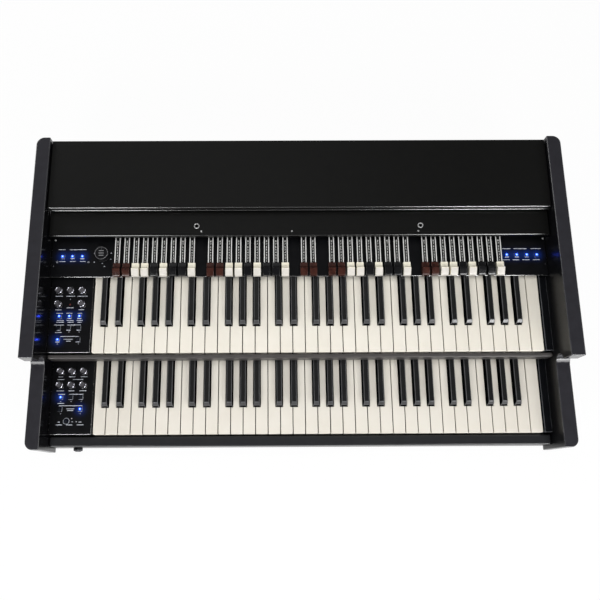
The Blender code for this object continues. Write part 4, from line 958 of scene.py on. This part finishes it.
def stem_marks():
    """The two white side lines and the numbers 1 to 8 of one stem, about x = 0."""
    lines = []
    for side in (-1, 1):
        left, right = sorted((side * 0.0032, side * (STEM_WIDTH / 2 - 0.0003)))
        low = (left, CAP_BACK - 0.003, STEM_TOP - 0.0003)
        lines.append((low, (right, STEM_BACK - 0.012, STEM_TOP + 0.0001)))
    mesh = boxes(*lines)
    bm = bmesh.new()
    bm.from_mesh(mesh)
    for number in range(1, 9):
        digit = digit_mesh(str(number))
        y = CAP_BACK + 0.0034 + (number - 1) * DIGIT_PITCH
        digit.transform(Matrix.Translation((0.0, y, STEM_TOP + 0.00004)))
        bm.from_mesh(digit)
        bpy.data.meshes.remove(digit)
    bm.to_mesh(mesh)
    bm.free()
    return mesh


def make_drawbar(node, number, x, looks, marks):
    mesh = prism(cap_outline(), "YZ", x - CAP_WIDTH / 2, x + CAP_WIDTH / 2)
    # Faces that look forwards take the second look; on the ivory caps that is the darker copy, painted shade.
    for face in mesh.polygons:
        face.material_index = 1 if face.normal.y < -0.2 else 0
    cap = piece(f"{node}_cap_{number}", mesh, looks, node, node, 25)
    soften(cap, 0.0009, 4, 30)
    half = STEM_WIDTH / 2
    stem = boxes(((x - half, CAP_BACK - 0.004, STEM_BOTTOM), (x + half, STEM_BACK, STEM_TOP)))
    soften(piece(f"{node}_stem_{number}", stem, "stem_black", node, node), 0.0003, 2)
    mesh = marks.copy()
    mesh.transform(Matrix.Translation((x, 0.0, 0.0)))
    piece(f"{node}_marks_{number}", mesh, "print_white", node, body=node)


def make_drawbars():
    marks = stem_marks()
    inset = 0.0003
    for node, first, count in SETS:
        xs = [DRAWBAR_X + (first + i) * DRAWBAR_PITCH for i in range(count)]
        for number, (x, colour) in enumerate(zip(xs, CAP_COLOURS), 1):
            make_drawbar(node, number, x, CAP_LOOKS[colour], marks)
        low = (xs[0], STEM_BACK - 0.008, STEM_BOTTOM + inset)
        bar = boxes((low, (xs[-1], STEM_BACK - inset, STEM_TOP - inset)))
        soften(piece(node + "_bar", bar, "stem_black", node, node), 0.0003, 2)


# Keys

def natural_mesh(index, front, top):
    """One natural: the top with its notches for the sharps and a square front that drops to the lip."""
    notch = SHARP_WIDTH / 2 + KEY_GAP
    left = KEYS_X + index * PITCH + KEY_GAP
    right = KEYS_X + (index + 1) * PITCH - KEY_GAP
    tail_left = SHARP_CENTRES[index - 1] + notch if index - 1 in SHARP_CENTRES else left
    tail_right = SHARP_CENTRES[index] - notch if index in SHARP_CENTRES else right
    head, back, strip = front + HEAD, front + KEY_BACK, front + LIP_DEPTH
    ring = [(tail_left, back)]
    if tail_left > left:
        ring += [(tail_left, head), (left, head)]
    start = len(ring)
    ring += [(left, strip), (left, front), (right, front), (right, strip)]
    if tail_right < right:
        ring += [(right, head), (tail_right, head)]
    ring.append((tail_right, back))
    bm = bmesh.new()
    upper = [bm.verts.new((x, y, top)) for x, y in ring]
    lower = [bm.verts.new((x, y, top - KEY_THICKNESS)) for x, y in ring]
    join_rings(bm, lower, upper)
    bm.faces.new(upper)
    foot = [bm.verts.new((x, y, top - LIP_HEIGHT)) for x, y in ring[start:start + 4]]
    over = lower[start:start + 4]
    bm.faces.new([vert for vert in lower[::-1] if vert not in over[1:3]])
    join_rings(bm, foot, over)
    bm.faces.new(foot[::-1])
    mesh = finish_mesh(bm)
    weigh_natural(mesh, front, top, {0: left, NATURALS - 1: right}.get(index))
    return mesh


def weigh_natural(mesh, front, top, outer):
    """How far each edge is rounded: the manual's outer corners most, the front more than the sides."""

    def weight(edge):
        one, two = (vert.co for vert in edge.verts)
        if edge.is_manifold and edge.calc_face_angle() < FLAT_ANGLE:
            return 0.0
        at_front = abs(one.y - front) < 1e-6 and abs(two.y - front) < 1e-6
        if at_front and abs(one.z - two.z) > 1e-6:
            return 1.0 if outer is not None and abs(one.x - outer) < 1e-6 else 0.26
        return 0.42 if at_front and one.z > top - 1e-6 else 0.16

    weigh(mesh, weight)


def make_naturals(manual):
    front, top = MANUALS[manual]
    # The lower manual takes the darker copy of the ivory, as painted shade.
    look = {"upper": "key_ivory", "lower": "key_ivory_lower"}[manual]
    for group, first, last in GROUPS:
        node = f"{manual}_naturals_{group}"
        for index in range(first, last):
            mesh = natural_mesh(index, front, top)
            key = piece(f"{manual}_natural_{index + 1:02d}", mesh, look, node, node)
            soften(key, 0.0032, 4, weights=True)
        left, right = KEYS_X + first * PITCH + COMB_GAP, KEYS_X + last * PITCH - COMB_GAP
        low = (left, front + KEY_BACK - 0.001, top - KEY_THICKNESS + 0.0002)
        bar = boxes((low, (right, front + KEY_LENGTH, top - 0.0002)))
        soften(piece(node + "_hinge_bar", bar, look, node, node), 0.0006, 2)


def sharp_row(x, y, top, low_lean, lean):
    """One end of a sharp, from its left foot over the crown to its right foot; the leans move it back."""
    wide, narrow = SHARP_WIDTH / 2, SHARP_TOP_WIDTH / 2
    bent = wide + (narrow - wide) * SHARP_KNEE / SHARP_HEIGHT
    crest = top + SHARP_HEIGHT
    half = [
        (wide, y, top - SHARP_DEPTH), (wide, y, top), (bent, y + low_lean, top + SHARP_KNEE),
        (narrow, y + lean, crest - SHARP_CROWN), (narrow / 2, y + lean, crest - SHARP_CROWN / 4),
    ]
    left = [(x - away, v, z) for away, v, z in half]
    right = [(x + away, v, z) for away, v, z in half]
    return [*left, (x, y + lean, crest), *right[::-1]]


def sharp_mesh(x, front, top):
    """One sharp: sides that lean in, a steep front with a sloped part above it, and a crowned top."""
    start = front + HEAD + 0.001
    bm = bmesh.new()
    near = [bm.verts.new(point) for point in sharp_row(x, start, top, 0.0018, 0.0072)]
    far = [bm.verts.new(point) for point in sharp_row(x, start + SHARP_LENGTH, top, 0.0, 0.0)]
    join_rings(bm, near, far)
    bm.faces.new((near[0], near[10], near[9], near[1]))
    bm.faces.new((near[1], near[9], near[8], near[2]))
    bm.faces.new(near[2:9])
    bm.faces.new(far)
    mesh = finish_mesh(bm)
    # Sides and the steep front take the almost black copy as painted shade; the sloped front part takes the
    # grey copy as painted reflection.
    for face in mesh.polygons:
        if abs(face.normal.x) > 0.9 or face.normal.y < -0.8:
            face.material_index = 1
        elif face.normal.y < -0.3:
            face.material_index = 2
    return mesh


def make_sharps(manual):
    front, top = MANUALS[manual]
    back = front + HEAD + SHARP_LENGTH
    low = top + 0.0026
    looks = ("key_black", "key_black_side_painted_shade", "key_black_slope_painted_reflection")
    number = 0
    for group, first, last in GROUPS:
        node = f"{manual}_sharps_{group}"
        xs = [x for natural, x in sorted(SHARP_CENTRES.items()) if first <= natural < last]
        parts = []
        for x in xs:
            number += 1
            mesh = sharp_mesh(x, front, top)
            key = piece(f"{manual}_sharp_{number:02d}", mesh, looks, node, node, 25)
            # The rounded edges take the light grey strip: painted highlight.
            soften(key, 0.001, 3, 25, edge="key_black_edge_painted_highlight")
            parts.append(((x - STRAP, back - 0.005, low + 0.0002), (x + STRAP, front + 0.194, low + 0.0042)))
        bar = (xs[0] - STRAP, front + 0.192, low), (xs[-1] + STRAP, front + KEY_LENGTH, low + 0.0044)
        soften(piece(node + "_hinge_bar", boxes(*parts, bar), "key_black", node, node), 0.0004, 2)


# Back, inside and feet

def dress_node(node, look, bevel=0.0006):
    """A CAD node that stays: its look, with its corners merged and its edges rounded."""
    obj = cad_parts[node]
    obj.data.materials.clear()
    obj.data.materials.append(LOOKS[look])
    weld = obj.modifiers.new("Weld", "WELD")
    weld.merge_threshold = 0.00001
    soften(obj, bevel, 2)


def make_back():
    dress_node("rear_panel", "board_satin")
    dress_node("rear_socket_plate", "rear_anodised", 0.0003)
    dress_node("mains_inlet", "frame_grey", 0.0003)
    dress_node("main_board", "circuit_green")
    dress_node("drawbar_slide_board", "base_black")
    dress_node("power_supply", "folded_sheet")
    dress_node("upper_key_frame", "frame_grey")
    dress_node("lower_key_frame", "frame_grey")


def make_rear_sockets():
    x, _, z = middle("rear_socket_plate")
    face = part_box("rear_socket_plate")[1].y
    nut = [
        (0.0036, 0.0), (0.007, 0.0), (0.007, 0.0016), (0.0064, 0.002), (0.0042, 0.002), (0.0042, 0.0026),
        (0.0036, 0.0026), (0.0036, 0.0),
    ]
    for number in range(4):
        place = (x + (number - 1.5) * 0.0363, face, z)
        piece(f"rear_socket_nut_{number + 1}", lathe(nut, place, 72, axis="Y"), "turned_steel")
    for number, (sx, sz) in enumerate(((-1, -1), (1, -1), (-1, 1), (1, 1)), 1):
        place = (x + sx * 0.079, face, z + sz * 0.013)
        make_screw(f"rear_plate_screw_{number}", place, 0.0022, "turned_steel", -90)


def make_inlet():
    low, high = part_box("mains_inlet")
    x, _, z = middle("mains_inlet")
    for number, (dx, dz) in enumerate(((-0.0055, -0.002), (0.0055, -0.002), (0.0, 0.003)), 1):
        corner = (x + dx - 0.0008, low.y + 0.003, z + dz - 0.002)
        pin = boxes((corner, (x + dx + 0.0008, high.y - 0.006, z + dz + 0.002)))
        soften(piece(f"mains_inlet_pin_{number}", pin, "pin_brass"), 0.0005, 3)
    for number, side in enumerate((-1, 1), 1):
        make_screw(f"mains_inlet_screw_{number}", (x + side * 0.0195, high.y, z), 0.002, "turned_steel", -90)


def make_feet():
    for node in ("front_left_foot", "front_right_foot", "back_left_foot", "back_right_foot"):
        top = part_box(node)[1].z
        x, y, _ = middle(node)
        profile = [
            (0.0, 0.0035), (0.0045, 0.0035), (0.005, 0.0), (0.0142, 0.0), (0.015, 0.0005), (0.0158, 0.0022),
            (0.016, 0.004), (0.0156, top - 0.0015), (0.015, top), (0.0, top),
        ]
        piece(node + "_pad", lathe(profile, (x, y, 0.0), 64), "foot_rubber", node)
        make_screw(node + "_screw", (x, y, 0.003), 0.0032, "turned_steel", 180)


# Camera, light and floor

def make_camera():
    yaw, pitch, roll = (math.radians(a) for a in (CAMERA_YAW, CAMERA_PITCH, CAMERA_ROLL))
    forward = Vector((math.sin(yaw) * math.cos(pitch), math.cos(yaw) * math.cos(pitch), -math.sin(pitch)))
    right = Vector((math.cos(yaw), -math.sin(yaw), 0.0))
    up = right.cross(forward)
    across = math.cos(roll) * right + math.sin(roll) * up
    down = math.sin(roll) * right - math.cos(roll) * up
    data = bpy.data.cameras.new("camera")
    data.lens = CAMERA_LENS
    data.sensor_width = 36.0
    data.shift_x, data.shift_y = CAMERA_SHIFT
    data.clip_start, data.clip_end = 0.05, 50.0
    camera = bpy.data.objects.new("camera", data)
    turn = Matrix((across, -down, -forward)).transposed()
    camera.matrix_world = Matrix.Translation(CAMERA_PLACE) @ turn.to_4x4()
    SCENE.collection.objects.link(camera)
    SCENE.camera = camera


def make_world():
    """A studio, pale round the horizon and dark overhead, with a soft patch of light above the lid."""
    world = bpy.data.worlds.new("studio")
    SCENE.world = world
    nodes = Nodes(world)
    place = nodes.add("TexCoord", {})["Generated"]
    height = nodes.add("SeparateXYZ", {"Vector": place})["Z"]
    sky = nodes.ramp(height, (0.0, grey(420)), (0.35, grey(220)), (0.7, grey(55)), (1.0, grey(50)))
    away = nodes.add("VectorMath", {0: place, 1: (-0.08, 0.42, 0.9)}, operation="DISTANCE")
    fade = {"Value": away["Value"], "From Max": 0.42, "To Min": 0.24, "To Max": 0.0}
    patch = nodes.add("MapRange", fade, interpolation_type="SMOOTHSTEP")
    total = nodes.add("VectorMath", {0: sky, 1: patch["Result"]}, operation="ADD")
    studio = nodes.add("Background", {"Color": total["Vector"]})
    plain = nodes.add("Background", {"Color": (1.0, 1.0, 1.0, 1.0)})
    seen = nodes.add("LightPath", {})["Is Camera Ray"]
    mix = nodes.add("MixShader", {"Fac": seen, 1: studio["Background"], 2: plain["Background"]})
    nodes.fill(nodes.tree.nodes["World Output"], {"Surface": mix["Shader"]})


def make_floor():
    """White to the camera and in mirroring or clear surfaces, and a dull white to the light."""
    mesh = boxes(((-12.0, -12.0, -0.02), (12.0, 12.0, 0.0)))
    floor = bpy.data.objects.new("floor", mesh)
    SCENE.collection.objects.link(floor)
    nodes, shader = start_look("floor_white")
    nodes.fill(shader, {"Base Color": (0.9, 0.9, 0.9, 1.0), "Roughness": 0.9, "Specular IOR Level": 0.1})
    glow = nodes.add("Emission", {"Color": (1.0, 1.0, 1.0, 1.0), "Strength": 1.0})
    path = nodes.add("LightPath", {})
    total = path["Is Camera Ray"]
    for ray in ("Is Glossy Ray", "Is Transmission Ray"):
        total = nodes.add("Math", {0: total, 1: path[ray]}, operation="ADD", use_clamp=True)["Value"]
    share = nodes.add("Math", {0: total, 1: 0.955}, operation="MULTIPLY")["Value"]
    mix = nodes.add("MixShader", {"Fac": share, 1: shader.outputs["BSDF"], 2: glow["Emission"]})
    nodes.fill(nodes.tree.nodes["Material Output"], {"Surface": mix["Shader"]})
    mesh.materials.append(LOOKS["floor_white"])


def make_light(name, place, target, size, power, mirrored=True, lit=True):
    """mirrored and lit say whether glossy and whether dull surfaces answer to it."""
    data = bpy.data.lights.new(name, "AREA")
    data.shape = "RECTANGLE"
    data.size, data.size_y = size
    data.energy = power
    light = bpy.data.objects.new(name, data)
    light.location = place
    light.rotation_euler = (Vector(target) - Vector(place)).to_track_quat("-Z", "Y").to_euler()
    light.visible_glossy = mirrored
    light.visible_diffuse = lit
    SCENE.collection.objects.link(light)


def make_studio():
    make_camera()
    make_world()
    make_floor()
    centre = (0.0, 0.0, 0.1)
    make_light("left_box", (-0.88, -1.5, 1.15), centre, (0.6, 0.9), 16.0)
    make_light("right_box", (0.98, -1.5, 1.15), centre, (0.9, 0.9), 21.0)
    make_light("low_box", (1.04, -1.82, 0.8), (0.33, -0.06, 0.12), (0.55, 0.3), 9.0, lit=False)
    make_light("side_box", (1.75, 0.15, 0.9), centre, (1.5, 0.45), 8.0, lit=False)
    make_light("back_box", (-1.64, 1.25, 1.0), centre, (1.0, 0.8), 8.8)
    make_light("top_fill", (0.0, -0.05, 2.4), centre, (1.8, 1.4), 30.5, mirrored=False)
    SCENE.view_settings.view_transform = "Standard"


def main():
    make_case_looks()
    make_key_looks()
    make_control_looks()
    make_metal_looks()
    make_studio()
    make_cheeks()
    make_lid()
    make_plain_boards()
    make_lower_rail()
    make_shelf()
    make_stand_sockets()
    make_jack()
    for manual in MANUALS:
        make_control_panel(manual)
        make_naturals(manual)
        make_sharps(manual)
        for number in range(1, len(KNOB_GRIDS[manual]) + 1):
            make_small_knob(f"{manual}_knob_{number}")
    make_panel_lamp()
    make_end_blocks()
    make_drawbar_panel()
    make_selector()
    make_drawbars()
    make_back()
    make_rear_sockets()
    make_inlet()
    make_feet()


main()
